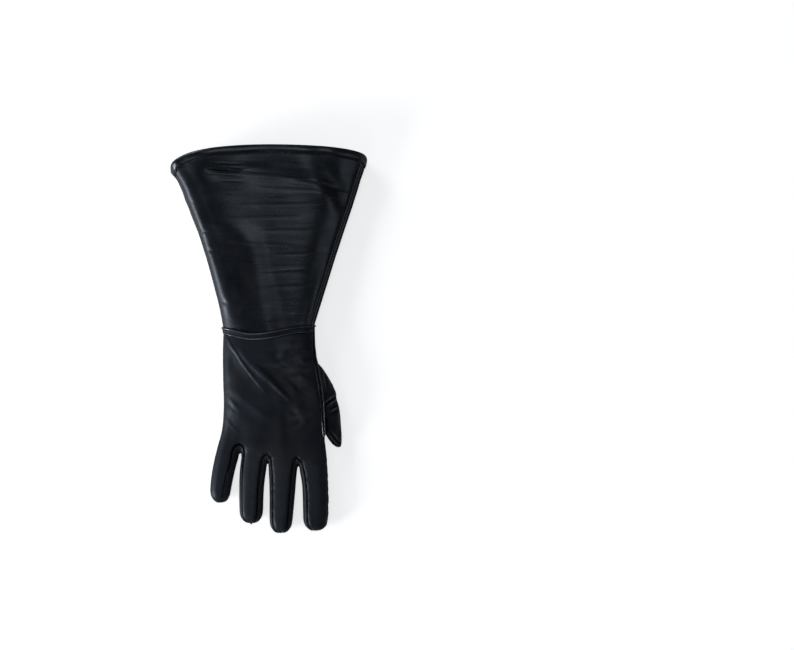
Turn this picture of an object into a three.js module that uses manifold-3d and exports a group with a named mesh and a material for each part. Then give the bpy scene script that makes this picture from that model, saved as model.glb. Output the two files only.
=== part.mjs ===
// A black leather gauntlet glove for the right hand, lying palm down: a flared forearm cuff with a
// bound rim, a wrist band, and a hand sewn from a back, a palm, three fourchettes and a thumb.
// Millimetres. +X is the thumb side, +Y runs from the fingertips to the cuff, +Z is up from the
// surface that the glove lies on. The origin is under the middle of the whole glove.

import * as THREE from 'three';
import { mergeVertices } from 'three/addons/utils/BufferGeometryUtils.js';
import Module from 'manifold-3d';

// Driving sizes
const LEATHER = 1.5; // wall of the hand, fingers and thumb
const CUFF_WALL = 2; // stiffened wall of the cuff
const SEAM = 0.3; // how far each sewn edge stands back from its seam line
const PALM_SEAM = 0.45; // the same for the palm, which has the tightest turns
const SHARP_SEAM = 0.4; // at the sharpest turns of a seam the edge stands back no further
const TRIM = 0.35; // gap left round a piece that meets another face to face
const FINGER_MID = 7.5; // height of a finger's widest line
const FINGER_TIP = 11; // length of a rounded fingertip
const HAND_MID = 9; // height of the little-finger edge of the hand
const SHOULDER = 6; // the back starts to turn down this far from an edge
const SHOULDER_SHARE = 0.5; // but never further in than this share of a finger's half width
const ROUND = 2.4; // fullness of the rounded leather, where 2 is an ellipse
const SOLE_ROUND = 3; // the same for the undersides
const FLAT_SHARE = 1.08; // over 1, and the underside lies flat on the surface
const PALM_SEAM_SHARE = 0.72; // palm seam of a finger, as a share of its half width
const WRIST = { y: 10.3, slant: 0.02 }; // the wrist seam, under the hand
const WRIST_DIP = { x: -16, depth: 7.5, left: 22, right: 36, z: 20 }; // it sags over the back
const WRIST_EDGE = { left: -46, right: 45 }; // ends of the wrist seam
const BAND = { width: 8.4, proud: 1.6, edge: 0.9, shoulder: 0.8, fullZ: 9 }; // wrist band
const HEM = { width: 9, proud: 1.4, leather: 1.1 }; // binding round the rim of the cuff
const WELT = { width: 3, proud: 1.9, flank: 0.7, crown: 0.8, steps: 16 }; // strip along a seam
const CUFF_WELT = { start: 0.012, end: 0.935, look: 0.02, over: 0.2, under: -0.12 };
const HAND_WELT = { start: 0.2, end: -2, look: 0.2, over: 0.7, under: 0.2 };

// Columns and rows of leather between the seams
const STRIP_COLUMNS = 4;
const WRAP_COLUMNS = 2;
const HAND_ROWS = 10;
const FOLD_ROWS = 3; // rows over which the folds of the back fade out at the forks
const BLEND_SHARE = 0.45; // share of the hand's rows over which it takes the fingers' form
const CROTCH_ROWS = 3;
const FINGER_ROWS = 5;
const TIP_BACK = [6, 2.4, 0.7, 0]; // rows of a fingertip, measured back from its end
const CUFF_SIDES = 48;
const THUMB_SIDES = 20;

// Edges of the hand from wrist to fingers. left is the little-finger edge. seam and seamZ place
// the thumb-side seam, lip is how far the side stands out past it, and undercut is how far the
// palm is drawn in under it.
const HAND = [
  { y: 16, left: -46.6, seam: 43.6, seamZ: 13, top: 27.5, lip: 0.6, undercut: 4 },
  { y: -20, left: -47.3, seam: 44, seamZ: 17, top: 27, lip: 1.2, undercut: 8 },
  { y: -50, left: -47.3, seam: 49, seamZ: 20.5, top: 27.5, lip: 1.8, undercut: 12.5 },
  { y: -72, left: -47, seam: 52.4, seamZ: 21, top: 26.5, lip: 1.8, undercut: 13 },
  { y: -92, left: -48.6, seam: 54, seamZ: 18.5, top: 24.5, lip: 1.4, undercut: 10 },
  { y: -104, left: -52.3, seam: 54.6, seamZ: 15, top: 22.5, lip: 0.8, undercut: 8 },
  { y: -120, left: -56.2, seam: 56.6, seamZ: 10, top: 20, lip: 0.2, undercut: 8 },
];
const FINGERS_START = -118; // below this the outer edges are those of the fingers

// Fingers, from the little finger to the index. left and right are the outline, and seamLeft and
// seamRight are how far in from it the back of the finger is sewn to the fourchettes.
const FINGERS = [
  {
    tip: -163.4, top: 16, seamLeft: 0, seamRight: 7,
    outline: [
      { y: -115, left: -54.9, right: -31.2 },
      { y: -128, left: -58, right: -34.6 },
      { y: -141, left: -60, right: -37.8 },
      { y: -153, left: -60.6, right: -39.8 },
    ],
  },
  {
    tip: -184.2, top: 17, seamLeft: 3, seamRight: 5.4,
    outline: [
      { y: -115, left: -28.4, right: -1.8 },
      { y: -133, left: -31, right: -4.6 },
      { y: -150, left: -31.2, right: -6.6 },
      { y: -174, left: -31.2, right: -7.4 },
    ],
  },
  {
    tip: -193.8, top: 17.5, seamLeft: 3, seamRight: 4.4,
    outline: [
      { y: -124, left: -2, right: 28 },
      { y: -137, left: -1.4, right: 26.2 },
      { y: -161, left: -0.8, right: 24 },
      { y: -183, left: -0.8, right: 22 },
    ],
  },
  {
    tip: -191.5, top: 17, seamLeft: 4.6, seamRight: 0,
    outline: [
      { y: -120, left: 27.4, right: 56.6 },
      { y: -130, left: 28.8, right: 57.2 },
      { y: -141, left: 31.2, right: 57.6 },
      { y: -165, left: 32.5, right: 58.2 },
      { y: -181, left: 32.6, right: 57.8 },
    ],
  },
];

// Forks between the fingers: where the back is cut to, and where the gap starts seen from above
const FORKS = [
  { x: -30, backY: -103.5, gapX: -29.7, gapY: -114 },
  { x: -2.5, backY: -115, gapX: -2.2, gapY: -123 },
  { x: 26.7, backY: -118.5, gapX: 28.2, gapY: -127 },
];
const FORK_DEPTH = { back: 9, gap: 5, palm: 7 }; // length of each fork's rounded end
const PALM_FORK_BACK = 3; // the palm is cut this much nearer the wrist than the gap
const PALM_FORK_LIFT = 0.5; // and stands this clear of the surface there

// Folds and creases of the back, each a soft ridge between two points. A negative height is a dip.
const BACK_FOLDS = [
  { x0: -43, y0: -1, x1: -8, y1: -48, width: 4.5, height: 1.3 },
  { x0: -36, y0: -18, x1: -14, y1: -52, width: 7, height: -1.4 },
  { x0: -26, y0: -14, x1: 28, y1: -66, width: 8, height: 1.7 },
  { x0: 6, y0: -22, x1: 34, y1: -52, width: 10, height: -1.3 },
  { x0: -46, y0: -60, x1: -22, y1: -86, width: 6, height: 1.4 },
];

// Thumb, as sections from its root inside the hand to its tip. right is the outer edge.
const THUMB = [
  { y: -13, right: 37.5, half: 7, top: 13 },
  { y: -21, right: 45.6, half: 9.5, top: 15.5 },
  { y: -29, right: 52.6, half: 12, top: 16.5 },
  { y: -37, right: 57.8, half: 12.5, top: 16.5 },
  { y: -45, right: 62.4, half: 12.5, top: 16.5 },
  { y: -53, right: 65.8, half: 11.6, top: 16 },
  { y: -60, right: 66.4, half: 10.2, top: 15 },
  { y: -64, right: 67.8, half: 10.2, top: 15.6 },
  { y: -69, right: 69.2, half: 10.2, top: 15.2 },
  { y: -77, right: 70.2, half: 10.2, top: 15.6 },
  { y: -85, right: 70.7, half: 9.4, top: 15 },
  { y: -93, right: 71.3, half: 8.7, top: 13.6 },
  { y: -100, right: 71.5, half: 6.7, top: 11.4 },
  { y: -105, right: 71.2, half: 4.6, top: 8.6 },
  { y: -108, right: 70.2, half: 2, top: 6 },
];

// Cuff, as sections by share of the way from the wrist to the rim. leftZ and rightZ are the
// heights of the folded edge and of the seam, and edge is how boxy the turn at the seam is.
const CUFF = [
  { share: 0, left: -47.4, right: 44.2, top: 27.5, leftZ: 10, rightZ: 11, edge: 0.8 },
  { share: 0.11, left: -50.2, right: 49.8, top: 29.5, leftZ: 11, rightZ: 10, edge: 0.9 },
  { share: 0.26, left: -55.8, right: 57.5, top: 32, leftZ: 12.5, rightZ: 9, edge: 1 },
  { share: 0.42, left: -62, right: 65.5, top: 34.5, leftZ: 14, rightZ: 8, edge: 1.05 },
  { share: 0.58, left: -69.6, right: 74.3, top: 37, leftZ: 15.5, rightZ: 8, edge: 1.1 },
  { share: 0.74, left: -78.9, right: 83.2, top: 39.5, leftZ: 17, rightZ: 8, edge: 1.15 },
  { share: 0.82, left: -84.1, right: 87.2, top: 40.8, leftZ: 17.8, rightZ: 8.2, edge: 1.18 },
  { share: 0.89, left: -87.8, right: 90.6, top: 42, leftZ: 18.5, rightZ: 8.5, edge: 1.2 },
  { share: 0.95, left: -92.4, right: 94.2, top: 43.2, leftZ: 19, rightZ: 9, edge: 1.2 },
  { share: 1, left: -97.6, right: 96.2, top: 44, leftZ: 19.5, rightZ: 9, edge: 1.2 },
];
const RIM = { top: 192.5, under: 189, left: 167, right: 180, fullness: 0.75 }; // Y of the rim
const CUFF_FOLDS = [
  { x0: -60, y0: 168, x1: 20, y1: 165, width: 4, height: -1.3 },
  { x0: -20, y0: 154, x1: 72, y1: 160, width: 5, height: -1 },
];
const CUFF_START = 4.6; // the cuff's lower edge, from the wrist line
const CUFF_FLAT = { left: 0.62, right: 0.5, power: 0.7 }; // underside flat where sin exceeds this
const FOLD_EDGE = 0.82; // how full the cuff's folded edge is
const HEM_LIFT = { from: 0.88, to: 0.94 }; // the cuff rises here, to lie on its binding
const TAPER = 2.4; // the inside of the cuff draws in this much faster at the seam

const SAME_POINT = 1e-4; // points nearer than this are joined

const lerp = THREE.MathUtils.lerp;
const clamp = THREE.MathUtils.clamp;
const point = (x, y, z) => new THREE.Vector3(x, y, z);

// Every column of a table at one value of its key column, on smooth curves through its rows
function between(rows, key, value) {
  const rising = rows[rows.length - 1][key] > rows[0][key];
  const table = rising ? rows : [...rows].reverse();
  const v = clamp(value, table[0][key], table[table.length - 1][key]);
  let i = 0;
  while (i < table.length - 2 && v > table[i + 1][key]) i += 1;
  const [a, b] = [table[i], table[i + 1]];
  const span = b[key] - a[key];
  const t = (v - a[key]) / span;
  const row = {};
  for (const name of Object.keys(a)) {
    if (name === key) continue;
    const slope = (p, q) => (q[name] - p[name]) / (q[key] - p[key]);
    const before = table[i - 1] ? (slope(table[i - 1], a) + slope(a, b)) / 2 : slope(a, b);
    const after = table[i + 2] ? (slope(a, b) + slope(b, table[i + 2])) / 2 : slope(a, b);
    row[name] = a[name] * (1 + 2 * t) * (1 - t) ** 2 + before * span * t * (1 - t) ** 2
      + b[name] * t * t * (3 - 2 * t) + after * span * t * t * (t - 1);
  }
  return row;
}

const hand = (y) => between(HAND, 'y', y);

// How high a rounded shape stands at share t of its half width
const rise = (t, n = ROUND) => (1 - clamp(Math.abs(t), 0, 1) ** n) ** (1 / n);

function wristLine(x, z) {
  const dip = WRIST_DIP;
  const spread = x < dip.x ? dip.left : dip.right;
  const sag = dip.depth * Math.exp(-(((x - dip.x) / spread) ** 2)) * clamp(z / dip.z, 0, 1);
  return WRIST.y + WRIST.slant * x - sag;
}

function foldHeight(folds, x, y) {
  let height = 0;
  for (const fold of folds) {
    const [dx, dy] = [fold.x1 - fold.x0, fold.y1 - fold.y0];
    const along = clamp(((x - fold.x0) * dx + (y - fold.y0) * dy) / (dx * dx + dy * dy), 0, 1);
    const away = Math.hypot(x - fold.x0 - along * dx, y - fold.y0 - along * dy);
    height += fold.height * Math.exp(-((away / fold.width) ** 2));
  }
  return height;
}

// A finger's section at y: its middle, half width and how much of its height is left at the tip
function fingerSection(finger, y) {
  const fromTip = Math.max(y - finger.tip, 0);
  const edges = between(finger.outline, 'y', Math.max(y, finger.tip + FINGER_TIP));
  const tipShare = rise(1 - Math.min(fromTip / FINGER_TIP, 1), 2);
  return {
    middle: (edges.left + edges.right) / 2,
    half: (edges.right - edges.left) / 2 * tipShare,
    fullHalf: (edges.right - edges.left) / 2,
    over: (finger.top - FINGER_MID) * tipShare,
    under: FINGER_MID * tipShare,
  };
}

const tipPoint = (finger) => point(fingerSection(finger, finger.tip).middle, finger.tip, FINGER_MID);

// A finger's height over a share of its half width, on the back and on the underside
const fingerTop = (s, t) => FINGER_MID + s.over * rise(t);
const fingerUnder = (s, t) => FINGER_MID - s.under * Math.min(FLAT_SHARE * rise(t, SOLE_ROUND), 1);

function handTop(x, y) {
  const h = hand(y);
  const middle = (h.left + h.seam) / 2;
  const side = x < middle ? { edge: h.left, low: HAND_MID } : { edge: h.seam, low: h.seamZ };
  const t = Math.min((x - middle) / (side.edge - middle), 1);
  return side.low + (h.top - side.low) * rise(t);
}

// Rows of leather are numbered from the forks: below nought they lie over the hand, and past it
// come the fork's rounded end, the finger and the fingertip.
const LAST_ROW = CROTCH_ROWS + FINGER_ROWS + TIP_BACK.length;

function fingerRowY(finger, start, row) {
  if (row <= CROTCH_ROWS + FINGER_ROWS) {
    const share = (row - CROTCH_ROWS) / FINGER_ROWS;
    return lerp(start, finger.tip + FINGER_TIP, share);
  }
  return finger.tip + TIP_BACK[row - CROTCH_ROWS - FINGER_ROWS - 1];
}

// How much of a row has the finger's own form: none of the hand, and all past the fork
const fingerShare = (row) => THREE.MathUtils.smoothstep(row, -BLEND_SHARE * HAND_ROWS, CROTCH_ROWS);

// How far across its half width a finger is sewn, by the kind of seam and the side (-1 or 1)
function seamShare(i, side, kind, s) {
  const finger = FINGERS[i];
  const outer = (i === 0 && side < 0) || (i === FINGERS.length - 1 && side > 0);
  const shoulder = Math.min(SHOULDER, s.fullHalf * SHOULDER_SHARE);
  const seam = side < 0 ? finger.seamLeft : finger.seamRight;
  if (kind === 'back') return 1 - (outer ? shoulder : seam) / s.fullHalf;
  return kind === 'gap' ? 1 : PALM_SEAM_SHARE;
}

function sideLine(i, side, kind, y) {
  const s = fingerSection(FINGERS[i], y);
  const t = seamShare(i, side, kind, s);
  const z = { back: fingerTop(s, t), gap: FINGER_MID, palm: fingerUnder(s, t) }[kind];
  return point(s.middle + side * s.half * t, y, z);
}

// The seam or gap line beside finger i at a row, starting from the fork on that side
function forkPoint(i, side, kind, row) {
  const fork = side < 0 ? i - 1 : i;
  const { x: seamX, backY, gapX, gapY } = FORKS[fork];
  const apexX = kind === 'back' ? seamX : gapX;
  const apexY = { back: backY, gap: gapY, palm: gapY + PALM_FORK_BACK }[kind];
  const end = apexY - FORK_DEPTH[kind];
  if (row >= CROTCH_ROWS) return sideLine(i, side, kind, fingerRowY(FINGERS[i], end, row));
  const turn = row / CROTCH_ROWS * Math.PI / 2;
  const line = sideLine(i, side, kind, end);
  const apexZ = { back: forkHeight(fork, apexX, apexY, 0), gap: FINGER_MID, palm: PALM_FORK_LIFT }[kind];
  return point(
    lerp(apexX, line.x, Math.sin(turn)),
    lerp(end, apexY, Math.cos(turn)),
    lerp(line.z, apexZ, Math.cos(turn)),
  );
}

// Height of the back along the line that runs from the wrist to a fork
function forkHeight(fork, x, y, row) {
  const edge = (i, side) => {
    const s = fingerSection(FINGERS[i], y);
    return fingerTop(s, seamShare(i, side, 'back', s));
  };
  return lerp(wrinkledTop(x, y, row), (edge(fork, 1) + edge(fork + 1, -1)) / 2, fingerShare(row));
}

function wrinkledTop(x, y, row) {
  return handTop(x, y) + foldHeight(BACK_FOLDS, x, y) * clamp(-row / FOLD_ROWS, 0, 1);
}

// Rows along the outer edges of the hand: the little-finger side (-1) and the thumb side (1)
const OUTER_START = { '-1': -97, 1: -120 }; // Y of an outer edge in the row of the forks
const OUTER_END = { '-1': -112, 1: -130 }; // Y of it in the last row of a fork's rounded end

function outerRowY(side, row) {
  if (row < 0) {
    const wristY = wristLine(side < 0 ? WRIST_EDGE.left : WRIST_EDGE.right, HAND_MID) - CUFF_START;
    return lerp(OUTER_START[side], wristY, -row / HAND_ROWS);
  }
  if (row < CROTCH_ROWS) return lerp(OUTER_START[side], OUTER_END[side], row / CROTCH_ROWS);
  return fingerRowY(side < 0 ? FINGERS[0] : FINGERS[3], OUTER_END[side], row);
}

// An outer edge at a row, first as the hand has it and then as the finger has it: the middle that
// it is rounded about, its own height, the heights over and under that, and the full half width
function outerEdge(side, row) {
  const y = outerRowY(side, row);
  const h = hand(y);
  const s = fingerSection(side < 0 ? FINGERS[0] : FINGERS[3], y);
  const x = y > FINGERS_START ? (side < 0 ? h.left : h.seam) : s.middle + side * s.half;
  const mid = side < 0 ? HAND_MID : h.seamZ;
  const middle = (h.left + h.seam) / 2;
  return {
    x, y, h, s,
    share: fingerShare(row),
    hand: { middle, mid, over: h.top - mid, under: mid, full: Math.abs(x - middle) },
    finger: { middle: s.middle, mid: FINGER_MID, over: s.over, under: s.under, full: s.fullHalf },
  };
}

// A point of the back where it turns down to an outer edge: turn 0 is the shoulder, 1 the edge
function overTurn(side, e, form, turn) {
  const half = Math.abs(e.x - form.middle);
  const shoulder = 1 - Math.min(SHOULDER, form.full * SHOULDER_SHARE) / form.full;
  const start = Math.asin(shoulder ** (ROUND / 2));
  const t = Math.sin(lerp(start, Math.PI / 2, turn)) ** (2 / ROUND);
  return point(form.middle + side * half * t, e.y, form.mid + form.over * rise(t));
}

const TUCK = { share: 0.4, power: 1.6 }; // how the back's edge goes in under the hand

// The back's rounded little-finger edge: past turn 1 it goes on under the hand to its seam
function leftWrap(row, turn) {
  const e = outerEdge(-1, row);
  const [onHand, onFinger] = [e.hand, e.finger].map((form) => {
    if (turn <= 1) return overTurn(-1, e, form, turn);
    const past = turn - 1;
    const tuck = Math.min(SHOULDER, Math.abs(form.middle - e.x) * TUCK.share);
    const down = 1 - (1 - past) ** TUCK.power;
    return point(e.x + tuck * past * past, e.y, form.mid - form.under * down);
  });
  return onHand.lerp(onFinger, e.share);
}

// The back's turn down to the thumb-side seam
function rightWrap(row, turn) {
  const e = outerEdge(1, row);
  return overTurn(1, e, e.hand, turn).lerp(overTurn(1, e, e.finger, turn), e.share);
}

const WALL_BEND = { high: 0.35, in: 0.6, low: 0.8 }; // how the side of the hand curves in

// The side of the hand, from the thumb-side seam down and in to the palm: turn runs from 0 to 1
function rightWall(row, turn) {
  const seam = rightWrap(row, 1);
  const e = outerEdge(1, row);
  const under = sideLine(3, 1, 'palm', e.y);
  const footX = lerp(e.h.seam - e.h.undercut, under.x, e.share);
  const foot = point(footX, e.y, lerp(0, under.z, e.share));
  const lip = lerp(e.h.lip, 0, e.share);
  const curve = new THREE.CubicBezierCurve3(
    seam,
    point(seam.x + lip, e.y, lerp(seam.z, foot.z, WALL_BEND.high)),
    point(lerp(seam.x, foot.x, WALL_BEND.in), e.y, foot.z + WALL_BEND.low * (1 - e.share)),
    foot,
  );
  return curve.getPoint(turn);
}

const WRIST_STRIPS = { left: -40, right: 39, top: 27 }; // ends of the strips at the wrist

// Boundary of a strip of the back or palm at a row, where boundary 0 is the little-finger edge,
// 1 to 3 are the forks and 4 is the thumb side. side says which finger it is seen from.
function stripEdge(kind, boundary, side, row) {
  if (boundary === 0) return leftWrap(row, kind === 'back' ? 0 : 2);
  if (boundary === FINGERS.length) return kind === 'back' ? rightWrap(row, 0) : rightWall(row, 1);
  const i = side < 0 ? boundary : boundary - 1;
  if (row >= 0) return forkPoint(i, side, kind, row);
  const apex = forkPoint(i, side, kind, 0);
  const wristX = lerp(WRIST_STRIPS.left, WRIST_STRIPS.right, boundary / FINGERS.length);
  const wristY = wristLine(wristX, kind === 'back' ? WRIST_STRIPS.top : 0) - CUFF_START;
  const x = lerp(apex.x, wristX, -row / HAND_ROWS);
  const y = lerp(apex.y, wristY, -row / HAND_ROWS);
  return point(x, y, kind === 'back' ? forkHeight(boundary - 1, x, y, row) : 0);
}

// The first row of leather follows the wrist line
function atWrist(row, p) {
  if (row === -HAND_ROWS) p.y = wristLine(p.x, p.z) - CUFF_START;
  return p;
}

// One finger's strip of the back or palm, from the wrist to the fingertip
function strip(kind, i) {
  const rows = [];
  for (let row = -HAND_ROWS; row < LAST_ROW; row += 1) {
    const left = stripEdge(kind, i, -1, row);
    const right = stripEdge(kind, i + 1, 1, row);
    const columns = [left];
    for (let c = 1; c < STRIP_COLUMNS; c += 1) {
      const across = c / STRIP_COLUMNS;
      const p = left.clone().lerp(right, across);
      const s = fingerSection(FINGERS[i], p.y);
      const t = lerp(-seamShare(i, -1, kind, s), seamShare(i, 1, kind, s), across);
      if (kind === 'back') p.z = lerp(wrinkledTop(p.x, p.y, row), fingerTop(s, t), fingerShare(row));
      else p.z = row < CROTCH_ROWS ? 0 : fingerUnder(s, t);
      columns.push(p);
    }
    rows.push([...columns, right].map((p) => atWrist(row, p)));
  }
  rows.push(Array(STRIP_COLUMNS + 1).fill(tipPoint(FINGERS[i])));
  return rows;
}

// A patch that follows one outer edge from the wrist to the fingertip
function wrap(at, turns, finger) {
  const rows = [];
  for (let row = -HAND_ROWS; row < LAST_ROW; row += 1) {
    rows.push(turns.map((turn) => atWrist(row, at(row, turn))));
  }
  rows.push(turns.map(() => tipPoint(finger)));
  return rows;
}

const FORK_BEND = { upper: 0.3, lower: 0.25 }; // how far its bulge stands above its middle line

// A fourchette: up one finger's side from its tip, round the fork and down the next finger's
function fourchette(fork) {
  const across = (i, side, row) => {
    if (row === LAST_ROW) return Array(5).fill(tipPoint(FINGERS[i]));
    const [back, gap, palm] = ['back', 'gap', 'palm'].map((kind) => forkPoint(i, side, kind, row));
    const high = point(gap.x, gap.y, lerp(back.z, gap.z, FORK_BEND.upper));
    const low = point(gap.x, gap.y, lerp(palm.z, gap.z, FORK_BEND.lower));
    const upper = new THREE.QuadraticBezierCurve3(back, high, gap);
    const lower = new THREE.QuadraticBezierCurve3(gap, low, palm);
    return [back, upper.getPoint(0.5), gap, lower.getPoint(0.5), palm];
  };
  const rows = [];
  for (let row = LAST_ROW; row >= 0; row -= 1) rows.push(across(fork, 1, row));
  for (let row = 1; row <= LAST_ROW; row += 1) rows.push(across(fork + 1, -1, row));
  return rows;
}

// The whole skin of the hand. Its patches share their seam points, so that every panel can be
// given its thickness along the same directions and the panels can't run into each other.
class Skin {
  constructor() {
    this.points = [];
    this.known = new Map();
    this.faces = [];
  }

  vertex(p) {
    const name = [p.x, p.y, p.z].map((v) => Math.round(v * 100)).join();
    if (!this.known.has(name)) {
      this.known.set(name, this.points.length);
      this.points.push(p);
    }
    return this.known.get(name);
  }

  add(piece, grid, flip = false) {
    const ids = grid.map((row) => row.map((p) => this.vertex(p)));
    for (let r = 0; r + 1 < ids.length; r += 1) {
      for (let c = 0; c + 1 < ids[r].length; c += 1) {
        const square = [ids[r][c], ids[r + 1][c], ids[r + 1][c + 1], ids[r][c + 1]];
        const corners = square.filter((id, n) => id !== square[(n + 1) % 4]);
        if (flip) corners.reverse();
        for (let n = 1; n + 1 < corners.length; n += 1) {
          this.faces.push({ piece, ids: [corners[0], corners[n], corners[n + 1]] });
        }
      }
    }
  }

  faceNormal(ids) {
    const [a, b, c] = ids.map((id) => this.points[id]);
    return b.clone().sub(a).cross(c.clone().sub(a));
  }

  findNormals() {
    this.normals = this.points.map(() => point(0, 0, 0));
    for (const { ids } of this.faces) {
      const n = this.faceNormal(ids);
      for (const id of ids) this.normals[id].add(n);
    }
    for (const n of this.normals) n.normalize();
  }

  // Edges that only one triangle of the given faces uses, in that triangle's direction
  openEdges(faces) {
    const edges = new Map();
    for (const face of faces) {
      face.ids.forEach((a, n) => {
        const b = face.ids[(n + 1) % 3];
        if (!edges.delete(`${b},${a}`)) edges.set(`${a},${b}`, { a, b, face });
      });
    }
    return [...edges.values()];
  }

  // A sewn panel: its part of the skin, stood back from the seams and given its thickness
  panel(piece, back = SEAM) {
    const faces = this.faces.filter((face) => face.piece === piece);
    const open = this.openEdges(faces);
    const inward = new Map();
    for (const { a, b, face } of open) {
      const along = this.points[b].clone().sub(this.points[a]);
      const pull = this.faceNormal(face.ids).normalize().cross(along).normalize();
      for (const id of [a, b]) inward.set(id, (inward.get(id) || point(0, 0, 0)).add(pull));
    }
    const outer = (id) => {
      const p = this.points[id].clone();
      const pull = inward.get(id);
      if (!pull) return p;
      const length = pull.length();
      return p.addScaledVector(pull, back / length / Math.max(length / 2, SHARP_SEAM));
    };
    const inner = (id) => outer(id).addScaledVector(this.normals[id], -LEATHER);
    const triangles = [];
    for (const { ids } of faces) {
      triangles.push(ids.map(outer), [...ids].reverse().map(inner));
    }
    for (const { a, b } of open) {
      triangles.push([outer(b), outer(a), inner(a)], [outer(b), inner(a), inner(b)]);
    }
    return fromTriangles(triangles);
  }

  // The space that the hand takes up, grown by a gap, as one closed body
  body(grow) {
    const moved = this.points.map((p, id) => p.clone().addScaledVector(this.normals[id], grow));
    const triangles = this.faces.map(({ ids }) => ids.map((id) => moved[id]));
    const open = this.openEdges(this.faces);
    const middle = open.reduce((sum, { a }) => sum.add(moved[a]), point(0, 0, 0));
    middle.divideScalar(open.length);
    for (const { a, b } of open) triangles.push([moved[b], moved[a], middle]);
    return fromTriangles(triangles);
  }
}

function fromTriangles(triangles) {
  const geometry = new THREE.BufferGeometry();
  const values = triangles.flat().flatMap((p) => [p.x, p.y, p.z]);
  geometry.setAttribute('position', new THREE.Float32BufferAttribute(values, 3));
  return mergeVertices(geometry, SAME_POINT);
}

// A closed body between rings of points. A ring's points run round it, and the rings run from one
// end to the other; with closed set, the last ring joins the first, as round a tyre.
function loft(rings, closed = false) {
  const triangles = [];
  const count = rings[0].length;
  const spans = closed ? rings.length : rings.length - 1;
  for (let r = 0; r < spans; r += 1) {
    const [from, to] = [rings[r], rings[(r + 1) % rings.length]];
    for (let n = 0; n < count; n += 1) {
      const m = (n + 1) % count;
      triangles.push([from[n], to[n], to[m]], [from[n], to[m], from[m]]);
    }
  }
  if (!closed) {
    const cap = (ring, turned) => {
      const middle = ring.reduce((sum, p) => sum.add(p), point(0, 0, 0)).divideScalar(count);
      ring.forEach((p, n) => {
        const next = ring[(n + 1) % count];
        triangles.push(turned ? [next, p, middle] : [p, next, middle]);
      });
    };
    cap(rings[0], false);
    cap(rings[rings.length - 1], true);
  }
  const volume = triangles.reduce((sum, [a, b, c]) => sum + a.dot(b.clone().cross(c)), 0);
  return fromTriangles(volume < 0 ? triangles.map((corners) => corners.reverse()) : triangles);
}

// Point of the cuff's section at an angle from the thumb-side seam, over the back and under.
// inset moves it in from the outer face, or out from it where it is negative.
function cuffPoint(share, angle, inset = 0) {
  const row = between(CUFF, 'share', clamp(share, 0, 1));
  const [c, s] = [Math.cos(angle), Math.abs(Math.sin(angle))];
  const left = row.left + inset;
  const right = row.right - Math.max(inset, 0) * TAPER - Math.min(inset, 0);
  const x = (left + right) / 2 + (right - left) / 2 * c;
  const onTop = Math.sin(angle) >= 0;
  const edgeZ = c > 0 ? row.rightZ : row.leftZ;
  const rimY = lerp(c > 0 ? RIM.right : RIM.left, onTop ? RIM.top : RIM.under, s ** RIM.fullness);
  const lift = HEM.proud * THREE.MathUtils.smoothstep(share, HEM_LIFT.from, HEM_LIFT.to);
  const under = Math.min(s / (c > 0 ? CUFF_FLAT.right : CUFF_FLAT.left), 1);
  let z = lerp(edgeZ, lift + inset, under ** CUFF_FLAT.power);
  if (onTop) z = edgeZ + (row.top - inset - edgeZ) * s ** (c > 0 ? row.edge : FOLD_EDGE);
  const wristY = wristLine(x, z) + CUFF_START;
  const y = lerp(wristY, rimY, share);
  return point(x, y, onTop ? z + foldHeight(CUFF_FOLDS, x, y) * s : z);
}

const cuffAngle = (n) => n / CUFF_SIDES * 2 * Math.PI;

// A ring carried round the cuff. Each corner of its profile has a share of the way to the rim, an
// inset from the outer face, and a step towards the fingers.
function cuffRing(profile) {
  const section = (angle) => profile(angle)
    .map(({ share, inset, step = 0 }) => cuffPoint(share, angle, inset).sub(point(0, step, 0)));
  return loft(Array.from({ length: CUFF_SIDES }, (_, n) => section(cuffAngle(n))), true);
}

const CUFF_SHARES = [0, 0.06, 0.14, 0.26, 0.42, 0.58, 0.74, 0.82, 0.88, 0.92, 0.95, 1];

function cuff() {
  const outside = CUFF_SHARES.map((share) => ({ share, inset: 0 }));
  const inside = CUFF_SHARES.map((share) => ({ share, inset: CUFF_WALL })).reverse();
  return cuffRing(() => [...outside, ...inside]);
}

const HEM_ROUND = 0.7; // how far the binding's cut edge slopes back

// The binding, folded over the rim: its outer leg, its rounded edge past the rim, its inner leg
function cuffHem() {
  const length = RIM.top - WRIST.y - CUFF_START;
  const [start, end] = [1 - HEM.width / length, 1 + TRIM / length];
  const past = 1 + (TRIM + HEM.leather) / length;
  const inner = CUFF_WALL + TRIM;
  return cuffRing(() => [
    { share: start, inset: -TRIM }, { share: end, inset: -TRIM },
    { share: end, inset: inner }, { share: start, inset: inner },
    { share: start, inset: inner + HEM.leather }, { share: 1, inset: inner + HEM.leather },
    { share: past, inset: CUFF_WALL }, { share: past, inset: 0 },
    { share: 1, inset: -HEM.proud }, { share: start + HEM_ROUND / length, inset: -HEM.proud },
  ]);
}

// The band sewn between the cuff and the hand, proud of both over the back and flat underneath
function wristBand() {
  const [near, far] = [CUFF_START - BAND.width / 2, CUFF_START + BAND.width / 2];
  return cuffRing((angle) => {
    const proud = BAND.proud * THREE.MathUtils.smoothstep(cuffPoint(0, angle).z, 0, BAND.fullZ);
    const shoulder = -proud * BAND.shoulder;
    return [
      { share: 0, inset: LEATHER, step: far }, { share: 0, inset: LEATHER, step: near },
      { share: 0, inset: 0, step: near }, { share: 0, inset: shoulder, step: near + BAND.edge },
      { share: 0, inset: -proud, step: CUFF_START }, { share: 0, inset: shoulder, step: far - BAND.edge },
      { share: 0, inset: 0, step: far },
    ];
  });
}

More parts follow.
